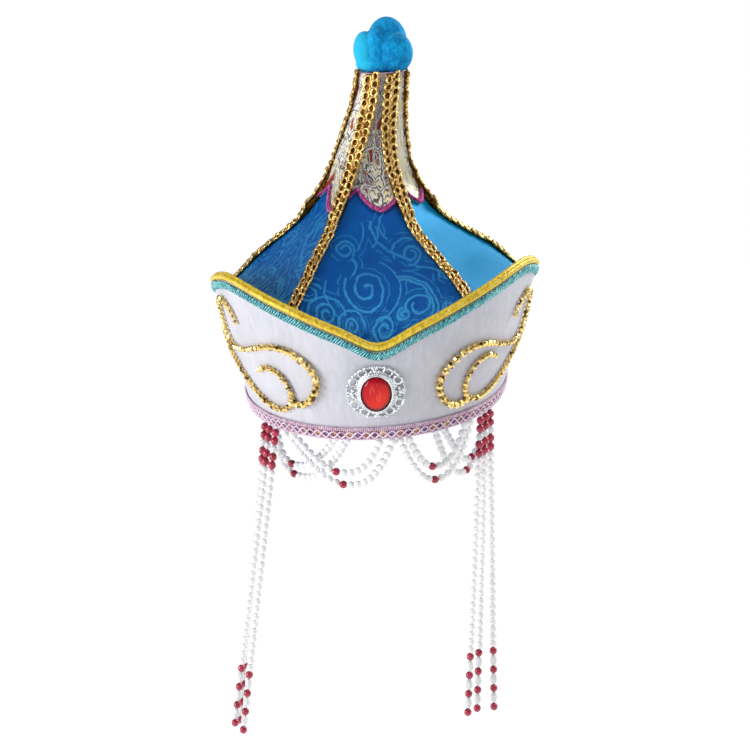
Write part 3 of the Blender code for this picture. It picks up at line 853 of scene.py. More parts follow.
def make_sleeve():
    bm = bmesh.new()

    def place(u, v):
        azimuth = 360 * u - 180
        low = rise_at(scallop(azimuth))
        return roof_offset(azimuth, low + (1 - low) * v, SLEEVE_OUT)

    lay(bm, 216, 60, place, strip(130, 80))
    sleeve = finish_piece("sleeve_cloth", bm, [silver_brocade], ["neck_sleeve"])
    wall = sleeve.modifiers.new("wall", "SOLIDIFY")
    wall.thickness, wall.offset = 1 * MM, -1
    return sleeve


make_sleeve()

# %% Magenta braid along the scallops
TRIM_WIDTH = 3.6 * MM
TRIM_OUT = SLEEVE_OUT + GAP


def trim_surface(azimuth, across, out):
    rise = rise_at(scallop(azimuth) + 0.2 * TRIM_WIDTH + across)
    return roof_offset(azimuth, rise, TRIM_OUT + out)


gimp(
    "scallop_gimp", "sleeve_trim", [magenta_thread, magenta_shade_core], turns=190,
    surface=trim_surface, width=TRIM_WIDTH, slant=0.3, thread=0.4 * MM,
)

# %% [markdown]
# ## Chain braid over the seams
#
# The braid is two rows of wire rings caught by a middle cord, over a ribbon painted dark as the
# shade between the rings. An image or a bump of rings would look flat on the neck, where the
# braid stands up at the outline. Rings of mesh cost little, since each is a small torus of a few
# dozen faces. No two lie quite alike, so each is tilted a little by chance.

# %% Gold finishes


def make_gold(name, dark, light, roughness, scale, share=(0.35, 0.6)):
    gold = Finish(name, roughness, 1.0)
    here = gold.here()
    painted_reflections = gold.noise(here, scale, 3.0)
    # Painted reflections: the noise patches dark and light metal into the colour.
    gold.set(
        Base_Color=gold.mix(painted_reflections.ramp(*share), dark, light),
        Roughness=roughness + painted_reflections * 0.15,
    )
    gold.bump(gold.noise(here, scale * 3, 2.0), 0.0002, 0.35)
    return gold.material


gold_chain = make_gold("gold_chain", (0.48, 0.24, 0.05), (1.0, 0.73, 0.28), 0.22, 500.0)
# The core's near-black colour is painted shade between the rings.
chain_shade_core = make_gold("chain_shade_core", (0.03, 0.012, 0.002), (0.22, 0.10, 0.015), 0.5, 700.0)
print("gold nodes:", len(gold_chain.node_tree.nodes))

# %% Where a seam braid runs
SEAM_BRAID_WIDTH = [(93, 7.6), (125, 8.0), (150, 9.8), (175, 10.4), (207, 10.2)]  # height, width
SEAM_BRAID_LIFT = [  # height, distance off the crown's cloth; the sleeve lies between them
    (93, 0.3), (114, 0.3), (122, 3.0), (141, 3.0), (150, 1.7), (207, 1.7),
]
SEAM_BRAID_FOOT, SEAM_BRAID_END, BRAID_STEPS = 0.05, 0.997, 400
SIDE_SEAM, SIDE_DRIFT = 90, 0.1  # on the neck the side braids sit a tenth further back
DRIFT_HEIGHTS = (120 * MM, 150 * MM)


def braid_frame(azimuth, rise):
    """Centre of the braid's back, its normal and side, half its width, and its lift."""
    if abs(azimuth) == SIDE_SEAM:
        low, high = (rise_at(height) for height in DRIFT_HEIGHTS)
        azimuth *= 1 + SIDE_DRIFT * min(1, max(0, (rise - low) / (high - low)))
    height = max(SHOULDER, height_at(rise)) / MM
    point, normal, across = roof_frame(azimuth, rise)
    half = smooth_table(SEAM_BRAID_WIDTH, height) / 2 * MM
    lift = smooth_table(SEAM_BRAID_LIFT, height) * MM
    return point + normal * lift, normal, across, half, lift


def braid_route(azimuth):
    """The braid's length, and a function that gives its frame at a distance along it."""
    span = SEAM_BRAID_END - SEAM_BRAID_FOOT
    route = [braid_frame(azimuth, SEAM_BRAID_FOOT + span * i / BRAID_STEPS) for i in range(BRAID_STEPS + 1)]
    walked = distances([spot[0] for spot in route])

    def at(distance):
        i = bisect.bisect_left(walked, distance, 0, BRAID_STEPS)
        along = (route[min(i + 1, BRAID_STEPS)][0] - route[max(i - 1, 0)][0]).normalized()
        return (*route[i], along)

    return walked[-1], at


print("a front braid is", round(braid_route(SEAMS[2])[0] / MM), "mm long")

# %% One wire ring


def make_ring(bm, matrix, long, wide, wire):
    """A ring of wire, spun once round and laid by the matrix."""
    ring = bmesh.new()
    upright = Matrix.Translation((1, 0, 0)) @ Matrix.Rotation(math.pi / 2, 4, "X")
    section = bmesh.ops.create_circle(ring, segments=5, radius=wire, matrix=upright)
    edges = {edge for vert in section["verts"] for edge in vert.link_edges}
    bmesh.ops.spin(
        ring, geom=section["verts"] + list(edges), cent=(0, 0, 0), axis=(0, 0, 1),
        angle=2 * math.pi, steps=12, use_merge=True, use_duplicate=False,
    )
    for vert in ring.verts:
        reach = math.hypot(vert.co.x, vert.co.y)
        wide_here, long_here = wide + reach - 1, long + reach - 1
        vert.co = (vert.co.x / reach * wide_here, vert.co.y / reach * long_here, vert.co.z)
    bmesh.ops.recalc_face_normals(ring, faces=ring.faces)
    bmesh.ops.transform(ring, matrix=matrix, verts=ring.verts)
    mesh = bpy.data.meshes.new("ring")
    ring.to_mesh(mesh)
    ring.free()
    bm.from_mesh(mesh)
    bpy.data.meshes.remove(mesh)


# %% A length of chain braid
LINK_PITCH, LINK_WIRE = 5.0 * MM, 0.9 * MM
RING_WIDE, RING_SEAT = 0.42, 1.15  # share of half the braid's width; mm above its back
RIBBON_THICK, LET_IN = 0.85 * MM, 0.4 * MM
KNOTS = 3  # of the middle cord, to each pair of rings


def braid_core(bm, length, at):
    """The ribbon under the rings, painted dark as the shade between them, and let into the cloth so that no
    light shows beneath it.
    """

    def ribbon(u, v):
        centre, normal, across, half, lift, _ = at(length * v)
        angle = 2 * math.pi * u
        out = RIBBON_THICK if math.sin(angle) > -0.5 else -lift - LET_IN
        out += 0.1 * MM * math.sin(angle)
        return centre + across * (0.8 * half * math.cos(angle)) + normal * out

    lay(bm, 8, 60, ribbon, strip(10, 150))
    close_core(bm, capped=True)


def add_ring(bm, side, pitch, spot, chance):
    """One ring, tilted by chance, and the little bend of wire at its outer side."""
    centre, normal, across, half, _, along = spot
    seat = (RING_SEAT + chance.uniform(-0.15, 0.25)) * MM
    place = centre + across * (side * 0.5 * half) + normal * seat
    tilt = Matrix.Rotation(math.radians(chance.gauss(10, 8)), 4, "X")
    roll = Matrix.Rotation(math.radians(chance.gauss(0, 9)), 4, "Y")
    wide = RING_WIDE * half * chance.uniform(0.88, 1.08)
    lie = Matrix.Translation(place) @ turned(across, along, normal) @ tilt @ roll
    make_ring(bm, lie, 0.5 * pitch, wide, LINK_WIRE)
    edge = centre + across * (side * 0.93 * half) + normal * 0.8 * MM + along * pitch * 0.4
    ball(bm, Matrix.Translation(edge), 0.62 * MM)


def add_knot(bm, spot):
    """One slanting bend of the middle cord."""
    centre, normal, across, _, _, along = spot
    place = Matrix.Translation(centre + normal * 1.5 * MM) @ turned(across, along, normal)
    slant = Matrix.Rotation(math.radians(40), 4, "Z") @ Matrix.Diagonal((1.5, 0.7, 0.7, 1))
    ball(bm, place @ slant, 0.75 * MM)


def make_seam_braid(number, azimuth):
    bm = bmesh.new()
    chance = random.Random(number)
    length, at = braid_route(azimuth)
    braid_core(bm, length, at)
    count = round(length / LINK_PITCH)
    pitch = length / count
    for i in range(count):
        for side in (-1, 1):
            add_ring(bm, side, pitch, at(pitch * (i + 0.5 + 0.2 * side)), chance)
        for step in range(KNOTS):
            add_knot(bm, at(pitch * (i + (step + 0.5) / KNOTS)))
    name, node = f"chain_braid_{number}", f"seam_braid_{number}"
    return finish_piece(name, bm, [gold_chain, chain_shade_core], [node], merge=False)


for number, seam in enumerate(SEAMS, 1):
    make_seam_braid(number, seam)

# %% [markdown]
# ## The rim braid
#
# A narrow braid closes the band's lower edge: lilac cords above and below a row of crossing
# threads, with coloured metal ribbon showing through them. The crossings are too bold to be a
# pattern on a flat strip, so each cord is a wound coil as before, and two coils that swing across
# the braid in opposite directions make the diamonds. The ribbon's colours change from one
# diamond to the next, and fade to a pale lilac on the left.

# %% Coloured metal ribbon
RIM_BRAID_WIDTH = 8.4 * MM
CROSSINGS = 52
CELL = 5.7  # mm of ribbon in one diamond, and each crossing has two
PALE_PART = (250.0, 222.0)  # mm round the rim, where the ribbon's colours fade


def make_sequins():
    metal = Finish("rim_sequins", 0.25, 0.7)
    x, y = metal.uv()
    place = (x / (CELL * 4)).math("FRACT")
    tone = metal.colours(place, [
        (0.0, (0.80, 0.45, 0.18)), (0.24, (0.85, 0.55, 0.22)), (0.26, (0.22, 0.16, 0.42)),
        (0.49, (0.30, 0.24, 0.52)), (0.51, (0.55, 0.20, 0.16)), (0.74, (0.62, 0.34, 0.16)),
        (0.76, (0.12, 0.09, 0.20)), (1.0, (0.24, 0.12, 0.18)),
    ])
    tone = metal.mix(x.ramp(*PALE_PART) * 0.75, tone, (0.42, 0.33, 0.45))
    glints = metal.noise(metal.join(x, y), 2.4, 2.0)
    # Painted dark reflections: where the glint noise is high the ribbon turns nearly black.
    tone = metal.mix(glints.ramp(0.45, 0.6), tone, (0.10, 0.05, 0.09))
    metal.set(Base_Color=tone, Roughness=0.35 - glints * 0.2)
    metal.bump(glints, 0.0004, 0.8)
    return metal.material


rim_sequins = make_sequins()
print("ribbon nodes:", len(rim_sequins.node_tree.nodes))

# %% Rim braid
RIBBON_HALF = 3.9 * MM
EDGE_CORDS = (-3.55, 2.45, 3.55)  # mm from the braid's middle
CORD_HALF, CORD_TURNS, CORD_THREAD = 0.62, 420, 0.34 * MM  # mm, windings, thread's radius
CROSS_MIDDLE, CROSS_SWING = -0.75, 1.9  # mm
CROSS_THREAD = 0.62 * MM


def rim_surface(azimuth, across, out):
    return band_point(azimuth, RIM_BRAID_WIDTH / 2 + across, GAP + out)


def make_rim_braid():
    bm = bmesh.new()

    def core(u, v):
        angle = 2 * math.pi * v
        out = (0.4 + 0.3 * math.sin(angle)) * MM
        return rim_surface(360 * u - 180, RIBBON_HALF * math.cos(angle), out)

    lay(bm, 360, 8, core, strip(CELL * 2 * CROSSINGS, 10))
    close_core(bm)
    for level in EDGE_CORDS:
        def edge(share, angle, level=level):
            azimuth = 360 * share - 180 + 0.5 * math.cos(angle)
            across = level + CORD_HALF * math.cos(angle)
            return rim_surface(azimuth, across * MM, (0.7 + 0.4 * math.sin(angle)) * MM)
        bm.from_mesh(coil("edge_coil", CORD_TURNS, edge, CORD_THREAD, 6))
    for side in (-1, 1):
        def cross(share, angle, side=side):
            across = CROSS_MIDDLE + side * CROSS_SWING * math.sin(angle)
            return rim_surface(360 * share - 180, across * MM, (0.95 + 0.2 * side * math.cos(angle)) * MM)
        bm.from_mesh(coil("cross_coil", CROSSINGS, cross, CROSS_THREAD, 16))
    materials = [lilac_thread, rim_sequins]
    return finish_piece("rim_gimp", bm, materials, ["rim_braid"], merge=False)


make_rim_braid()

# %% [markdown]
# ## The velvet knot
#
# A tube of blue velvet is stuffed hard and knotted, so soft lobes press on each other with deep
# creases between them. Cloth simulation suits slack cushions, while this form is tight and its
# folds are known. So ellipsoids overlap as the lobes do, a voxel remesh makes one skin of them,
# and a little smoothing rounds the creases. The knot is then cut flat where it sits on the neck.

# %% Blue velvet
PAINTED_LIGHT_LOBE_EDGE = (12.5 * MM, 4.5 * MM)  # across the knot, where the painted light on the left lobe begins

pile, tone = make_velvet(
    "blue_velvet", (0.001, 0.13, 0.36), (0.006, 0.46, 0.92), pile_scale=1000.0, stroke=1.5
)
# Painted light: the left lobe's colour is paler, as if lit from the left.
painted_lobe_light = pile.split(pile.here())[0].ramp(*PAINTED_LIGHT_LOBE_EDGE) * 0.75
pile.set(Base_Color=pile.mix(painted_lobe_light, tone, (0.03, 0.60, 0.92)))
blue_velvet = pile.material
print("blue velvet nodes:", len(blue_velvet.node_tree.nodes))

# %% Knot
KNOB_LOBES = [  # centre x, y and height above the neck, then half sizes, in mm
    (19.5, 3.0, 16.3, 12.6, 10.5, 16.0),
    (5.6, 0.5, 12.6, 7.4, 9.5, 11.8),
    (14.0, -3.0, 13.6, 7.4, 7.8, 14.0),
    (25.0, -5.5, 10.6, 10.2, 9.0, 12.2),
    (16.2, 0.0, 4.0, 17.0, 11.5, 6.0),
]


def one_skin(piece, voxel):
    """Apply a voxel remesh and a smoothing to the piece's own mesh."""
    remesh = piece.modifiers.new("skin", "REMESH")
    remesh.mode, remesh.voxel_size = "VOXEL", voxel
    smooth = piece.modifiers.new("soften", "SMOOTH")
    smooth.factor, smooth.iterations = 0.5, 5
    body = piece.evaluated_get(bpy.context.evaluated_depsgraph_get())
    skin = bpy.data.meshes.new_from_object(body)
    piece.modifiers.clear()
    piece.data = skin
    return skin


def cut_flat(mesh, level):
    """Cut away what lies below a level, and close the cut."""
    bm = bmesh.new()
    bm.from_mesh(mesh)
    bmesh.ops.bisect_plane(
        bm, geom=bm.verts[:] + bm.edges[:] + bm.faces[:],
        plane_co=(0, 0, level), plane_no=(0, 0, 1), clear_inner=True,
    )
    bmesh.ops.holes_fill(bm, edges=[edge for edge in bm.edges if edge.is_boundary])
    bm.to_mesh(mesh)
    bm.free()
    mesh.shade_smooth()


def make_knob():
    bm = bmesh.new()
    seat = NECK_TOP + GAP
    for x, y, z, half_x, half_y, half_z in KNOB_LOBES:
        place = Matrix.Translation(Vector((x, y, z)) * MM + Vector((0, 0, seat)))
        ball(bm, place @ Matrix.Diagonal((half_x * MM, half_y * MM, half_z * MM, 1)), 1, 4)
    knob = finish_piece("knot_velvet", bm, [blue_velvet], ["knob"], merge=False)
    cut_flat(one_skin(knob, 0.7 * MM), seat)
    print("the knot's skin has", len(knob.data.polygons), "faces")
    return knob


make_knob()

# %% [markdown]
# ## The brooch
#
# Silver-plated wire loops and little balls ring an oval red stone. Such filigree is soldered
# from wire and shot, so it is made here from rings and balls too, and not cut out of a plate,
# whose edges would look sawn. Each quarter has a cluster of balls and, on either side of it, a
# wire loop through which the velvet shows. Everything is placed flat, in the brooch's own plane,
# and one matrix then leans it on the band.

# %% Silver plate


def make_silver_plate():
    plate = Finish("silver_filigree", 0.2, 1.0)
    here = plate.here()
    wear = plate.noise(here, 300.0, 3.0)
    tone = plate.mix(wear.ramp(0.35, 0.65), (0.70, 0.74, 0.76), (0.97, 0.98, 1.0))
    plate.set(Base_Color=tone, Roughness=0.2 + wear * 0.25)
    plate.bump(plate.noise(here, 1000.0, 2.0), 0.0004, 0.8)
    return plate.material


silver = make_silver_plate()
print("silver nodes:", len(silver.node_tree.nodes))

# %% The brooch's place on the band
BROOCH_AZIMUTH, BROOCH_HEIGHT = -1, 32.5 * MM
STONE_HALF = (8.8 * MM, 11.4 * MM)


def brooch_matrix():
    slope = math.atan(FLARE_FRONT)
    out = Vector((0, -math.cos(slope), -math.sin(slope)))
    up = Vector((0, -math.sin(slope), math.cos(slope)))
    seat = band_point(BROOCH_AZIMUTH, BROOCH_HEIGHT) + out * GAP
    return Matrix.Translation(seat) @ turned(Vector((1, 0, 0)), up, out)


ON_BROOCH = brooch_matrix()


def oval(angle, margin, outward):
    """A point round the stone, this far from its edge and off the band."""
    x, y = ((half + margin) * way for half, way in zip(STONE_HALF, (math.cos(angle), math.sin(angle))))
    return Vector((x, y, outward))


print("brooch at", ON_BROOCH.translation)

# %% Brooch setting
COLLAR = [  # mm from the stone's edge, mm off the band
    (-0.6, 1.4), (0.3, 1.4), (0.3, 3.4), (0.7, 3.8), (1.3, 3.6), (2.2, 2.2), (3.4, 1.6), (3.4, 0.9),
    (-0.6, 0.9),
]
COLLAR_BALLS, EDGE_BALLS = 44, 72
EDGE_HALF = (17.3, 17.0)  # mm, half the width and height of the outer row of balls
EDGE_SEAT, BALL_SEAT = 0.9, 1.1  # mm off the band, of that row and of the other balls
CLUSTER = [  # mm from the brooch's middle, mm aside, ball radius in mm
    (14.4, 0, 1.5), (13.8, 2.2, 1.15), (13.8, -2.2, 1.15), (16.2, 1.1, 1.0), (16.2, -1.1, 1.0),
    (11.8, 0, 1.1),
]
LOOP_REACH, LOOP_LONG, LOOP_WIDE, LOOP_WIRE = 15.2 * MM, 2.4 * MM, 2.7 * MM, 0.85 * MM
LOOP_BALLS = [(12.3, -2.6, 0.95), (12.3, 2.6, 0.95), (17.3, -3.3, 0.8), (17.3, 3.3, 0.8)]
SPOKES = 12  # every third one is a cluster and the others are loops


def make_collar(bm):
    """The raised oval that holds the stone, with its row of balls."""

    def section(u, v):
        margin, outward = COLLAR[round(v * len(COLLAR)) % len(COLLAR)]
        return ON_BROOCH @ oval(2 * math.pi * u, margin * MM, outward * MM)

    lay(bm, 96, len(COLLAR), section, strip(60, 12))
    bmesh.ops.remove_doubles(bm, verts=bm.verts, dist=1e-7)
    bmesh.ops.recalc_face_normals(bm, faces=bm.faces)
    for i in range(COLLAR_BALLS):
        place = oval(2 * math.pi * i / COLLAR_BALLS, 1.75 * MM, 2.9 * MM)
        ball(bm, ON_BROOCH @ Matrix.Translation(place), 0.72 * MM, 2)


def make_edge(bm):
    """The outer row of balls."""
    for i in range(EDGE_BALLS):
        angle = 2 * math.pi * i / EDGE_BALLS
        x, y = EDGE_HALF[0] * math.cos(angle), EDGE_HALF[1] * math.sin(angle)
        place = Vector((x, y, EDGE_SEAT)) * MM
        ball(bm, ON_BROOCH @ Matrix.Translation(place), 0.82 * MM)


def make_brooch():
    bm = bmesh.new()
    make_collar(bm)
    make_edge(bm)
    for k in range(SPOKES):
        spoke = ON_BROOCH @ Matrix.Rotation(2 * math.pi * k / SPOKES, 4, "Z")
        clustered = k % 3 == 0
        for reach, aside, size in CLUSTER if clustered else LOOP_BALLS:
            ball(bm, spoke @ Matrix.Translation(Vector((reach, aside, BALL_SEAT)) * MM), size * MM, 2)
        if not clustered:
            lie = Matrix.Translation((LOOP_REACH, 0, 1 * MM)) @ Matrix.Rotation(math.pi / 2, 4, "Z")
            make_ring(bm, spoke @ lie, LOOP_LONG, LOOP_WIDE, LOOP_WIRE)
    return finish_piece("brooch_filigree", bm, [silver], ["brooch_setting"], merge=False)


make_brooch()

# %% [markdown]
# ## The stone
#
# The stone is red glass with a flat table, sloping sides and foil behind it. Clear glass would
# need deep light paths to look so bright, and would turn dark over the velvet. So an opaque
# finish paints the light and shade seen in it: a painted glow at the lower right, painted shade
# at the top and rim, and a few painted highlight streaks. The outline is extruded off the band
# and then inwards, one step for each slope.

# %% Red glass


def make_glass():
    glass = Finish("red_glass", 0.06, 0.0, Specular_IOR_Level=0.3, IOR=1.45)
    x, _, z = glass.split(glass.here())
    x = (x - ON_BROOCH.translation.x) / STONE_HALF[0]
    z = (z - ON_BROOCH.translation.z) / STONE_HALF[1]
    rim = (x * x + z * z).math("SQRT")
    # Painted light: a glow at the lower right, shade at the top and rim, and highlight streaks.
    glow = (x * 0.45 - z * 0.55 + 0.5).ramp(0.1, 1.0)
    tone = glass.mix(glow, (0.56, 0.004, 0.012), (0.86, 0.03, 0.014))
    tone = glass.mix(z.ramp(0.3, 0.95) * 0.7, tone, (0.30, 0.0, 0.012))
    tone = glass.mix(rim.ramp(0.72, 1.0), tone, (0.16, 0.001, 0.004))
    streaks = glass.noise(glass.join(x * 5.0 + z, z * 1.2), 1.3, 3.0).ramp(0.5, 0.68) * rim.ramp(0.75, 0.4)
    tone = glass.mix(streaks * 0.5, tone, (0.95, 0.16, 0.13))
    glass.set(Base_Color=tone, Roughness=0.05 + glass.noise(glass.here(), 200.0, 1.0) * 0.04)
    return glass.material


red_glass = make_glass()
print("glass nodes:", len(red_glass.node_tree.nodes))

# %% Stone
STONE_STEPS = [  # mm past the stone's outline, mm off the band
    (0, 1.5), (0, 2.6), (-0.35, 3.4), (-1.3, 4.4), (-2.7, 5.1), (-4.4, 5.55), (-6.4, 5.75),
]


def make_stone():
    bm = bmesh.new()
    ring = bmesh.ops.create_circle(bm, cap_ends=False, segments=64, radius=1)["verts"]
    for vert in ring:
        vert.co = oval(math.atan2(vert.co.y, vert.co.x), 0, STONE_STEPS[0][1] * MM)
    edges = list({edge for vert in ring for edge in vert.link_edges})
    bmesh.ops.contextual_create(bm, geom=edges)
    for margin, outward in STONE_STEPS[1:]:
        grown = bmesh.ops.extrude_edge_only(bm, edges=edges)["geom"]
        edges = [part for part in grown if isinstance(part, bmesh.types.BMEdge)]
        for vert in (part for part in grown if isinstance(part, bmesh.types.BMVert)):
            angle = math.atan2(vert.co.y / STONE_HALF[1], vert.co.x / STONE_HALF[0])
            vert.co = oval(angle, margin * MM, outward * MM)
    bmesh.ops.contextual_create(bm, geom=edges)
    bmesh.ops.transform(bm, matrix=ON_BROOCH, verts=bm.verts)
    return finish_piece("brooch_glass", bm, [red_glass], ["brooch_stone"])


make_stone()

# %% [markdown]
# ## Gold bead scrolls
#
# Faceted gold beads are threaded and glued along a drawn curve, small at the ends and large in
# the bend. Copies spread along a curve by a modifier would all have one size, so the beads are
# set one after another instead, each as soon as there is room for it. Each lies on the velvet
# with its hole along the string, and is turned a little further round it than the last, so that
# the flat facets catch the light in turn.

# %% Scrolls
SCROLL_OUTER = [  # azimuth, height and size in mm
    (58.0, 64.5, 2.4), (59.0, 70.0, 2.4), (61.5, 74.5, 2.6), (66.0, 77.5, 2.8), (70.0, 71.0, 2.8),
    (71.5, 62.0, 2.8), (71.5, 53.5, 2.8), (69.0, 47.0, 2.8), (64.0, 45.4, 2.8), (57.0, 47.2, 2.8),
    (49.5, 51.0, 3.0), (43.0, 54.2, 3.4), (37.0, 55.3, 3.8), (32.0, 53.6, 4.2), (28.0, 49.5, 4.6),
    (24.6, 44.0, 4.6), (22.9, 37.5, 4.8), (23.4, 31.0, 4.6), (25.6, 25.0, 4.4), (29.0, 20.2, 4.2),
    (33.2, 18.6, 4.0), (35.6, 19.6, 3.6),
]
SCROLL_INNER = [
    (80.0, 53.5, 2.6), (78.0, 46.0, 2.6), (73.5, 39.5, 2.6), (68.0, 34.0, 2.6), (61.5, 27.0, 2.8),
    (55.5, 21.3, 3.0), (49.5, 17.2, 3.4), (44.5, 15.6, 3.6), (39.6, 16.8, 3.4), (36.2, 21.0, 3.4),
    (35.1, 26.6, 3.2), (35.8, 32.4, 3.2), (38.0, 38.4, 3.0), (42.0, 42.2, 3.0), (46.5, 42.2, 3.0),
    (50.8, 38.6, 3.0),
]
RIGHT_TAIL = [(38.4, 20.0, 3.4)]  # the right one goes on for a few beads
SCROLL_LEAN = 3 * MM  # the outer ones: the right one lies lower by this, and the left one higher
FINE = 30  # places that are tried between two rows of the table
LEAST_WIDTH, WIDTH_SHARE = 1.55, 0.75  # a bead's width is these mm and this share of its size
BEAD_LONG, BEAD_HIGH, BEAD_TURN = 0.94, 0.46, 0.7  # shares of the width; radians
BEAD_ROOM = 1.02  # bead lengths from one to the next
# The beads' dark patches are painted reflections.
gold_beads = make_gold("gold_beads", (0.16, 0.08, 0.015), (1.0, 0.76, 0.30), 0.1, 330.0, (0.36, 0.47))


def lay_bead(bm, azimuth, level, point, along, wide, roll):
    """One faceted bead that touches the velvet at this point."""
    across = (band_point(azimuth + 1, level) - band_point(azimuth - 1, level)).normalized()
    up = (band_point(azimuth, level + MM) - band_point(azimuth, level - MM)).normalized()
    normal = across.cross(up).normalized()
    axes = turned(along, normal.cross(along).normalized(), normal)
    place = Matrix.Translation(point + normal * wide * BEAD_HIGH)
    size = Matrix.Diagonal((BEAD_LONG * wide / 2, wide / 2, wide * BEAD_HIGH, 1))
    lie = Matrix.Rotation(roll, 4, "X") @ Matrix.Rotation(math.pi / 2, 4, "Y")
    bmesh.ops.create_uvsphere(
        bm, u_segments=8, v_segments=5, radius=1.05, matrix=place @ axes @ size @ lie
    )


def make_scroll(name, node, rows, side, lean):
    bm = bmesh.new()
    table = [(i, *row) for i, row in enumerate(rows)]
    count, since, before = 0, 0.0, None
    for k in range(FINE * (len(rows) - 1) + 1):
        azimuth, height, size = (smooth_table(table, k / FINE, column) for column in (1, 2, 3))
        azimuth, level = side * azimuth, height * MM - side * lean
        point = band_point(azimuth, level, GAP)
        wide = (WIDTH_SHARE * size + LEAST_WIDTH) * MM
        step = point - (before or point)
        before = point
        since += step.length
        if k > 0 and (count == 0 or since >= BEAD_LONG * wide * BEAD_ROOM):
            lay_bead(bm, azimuth, level, point, step.normalized(), wide, count * BEAD_TURN)
            count, since = count + 1, 0.0
    print(name, count, "beads")
    return finish_piece(name, bm, [gold_beads], [node], smooth=False, merge=False)


for side, word, outer in ((-1, "left", SCROLL_OUTER), (1, "right", SCROLL_OUTER + RIGHT_TAIL)):
    make_scroll(f"beads_{word}_outer", f"scroll_{word}_outer", outer, side, SCROLL_LEAN)
    make_scroll(f"beads_{word}_inner", f"scroll_{word}_inner", SCROLL_INNER, side, 0)

# %% [markdown]
# ## The pearl fringe
#
# Strings of pearls hang from the rim: six long ones beside the face and four pairs of loops.
# White pearls are broken by red ones and clear crystals. A string could be one wavy tube, but
# then no bead would have its own highlight or colour. So each bead is threaded at its own place
# along the string's route, which is the same as its node's. White beads on a pale floor are
# told apart by their ends, so shade is painted into the finish round the holes.

# %% Pearl finishes
PEARL = 5.0 * MM
PEARL_PITCH = 5.1  # mm from one pearl to the next


def make_pearl(name, hole_shade_colour, dark, light, roughness, **fixed):
    """A cloudy bead with painted shade round its holes, where it meets the next one."""
    pearl = Finish(name, roughness, 0.0, **fixed)
    _, along = pearl.uv()
    # Painted shade: the colour darkens towards both holes, where the beads meet.
    painted_shade_at_holes = (along - 0.5).math("ABSOLUTE").ramp(0.24, 0.46)
    cloud = pearl.noise(pearl.here(), 220.0, 2.0)
    tone = pearl.mix(cloud.ramp(0.35, 0.65), dark, light)
    pearl.set(Base_Color=pearl.mix(painted_shade_at_holes, tone, hole_shade_colour), Roughness=roughness + cloud * 0.1)
    return pearl.material


white_pearl = make_pearl(
    "pearl", (0.64, 0.63, 0.65), (0.82, 0.81, 0.82), (0.88, 0.87, 0.87), 0.2,
    Subsurface_Weight=0.4, Subsurface_Radius=(1, 1, 1), Subsurface_Scale=0.002,
    # Painted glow: the white pearls' faint emission keeps them bright.
    Emission_Color=(1, 0.99, 0.97, 1), Emission_Strength=0.1,
)
red_pearl = make_pearl(
    "red_pearl", (0.24, 0.004, 0.02), (0.36, 0.008, 0.035), (0.52, 0.02, 0.07), 0.14, Coat_Weight=0.5
)
crystal = make_pearl(
    "clear_crystal", (0.68, 0.72, 0.74), (0.78, 0.82, 0.83), (0.98, 0.99, 0.99), 0.05, Alpha=0.7
)
STRING_MATERIALS = [white_pearl, red_pearl, crystal]
WHITE, RED, CLEAR = 0, 1, 2
print("pearl nodes:", len(white_pearl.node_tree.nodes))

# %% Thread beads along a route


def add_bead(bm, kind, place, along, length):
    wide = min(PEARL, length) / 2 * (0.94 if kind == CLEAR else 1.0)
    lie = along.to_track_quat("Z", "X").to_matrix().to_4x4()
    made = bmesh.ops.create_uvsphere(
        bm, u_segments=8 if kind == CLEAR else 12, v_segments=6 if kind == CLEAR else 8, radius=1,
        matrix=Matrix.Translation(place) @ lie @ Matrix.Diagonal((wide, wide, length * 0.505, 1)),
        calc_uvs=True,
    )
    for face in {face for vert in made["verts"] for face in vert.link_faces}:
        face.material_index = kind
        face.smooth = kind != CLEAR


def thread_beads(name, node, route, kinds):
    """Beads of these kinds and lengths along the route, which they fill from end to end."""
    bm = bmesh.new()
    bm.loops.layers.uv.verify()
    walked = distances(route)
    scale = walked[-1] / sum(length for _, length in kinds)
    reached = 0.0
    for kind, length in kinds:
        length *= scale
        middle = reached + length / 2
        reached += length
        i = min(bisect.bisect_right(walked, middle) - 1, len(route) - 2)
        share = (middle - walked[i]) / (walked[i + 1] - walked[i])
        along = (route[i + 1] - route[i]).normalized()
        add_bead(bm, kind, route[i].lerp(route[i + 1], share), along, length)
    return finish_piece(name, bm, STRING_MATERIALS, [node], smooth=False, merge=False)


# %% [markdown]
# ## The long strings
#
# Three strings hang on each side. Each starts under the rim with two pairs of red beads, runs on
# in white, and ends in red beads and long crystals. The white part takes as many pearls as fit,
# so a string's length can change without its two ends changing. Real strings hang plumb and
# sway a little, and these keep the lean that they have in the photo.

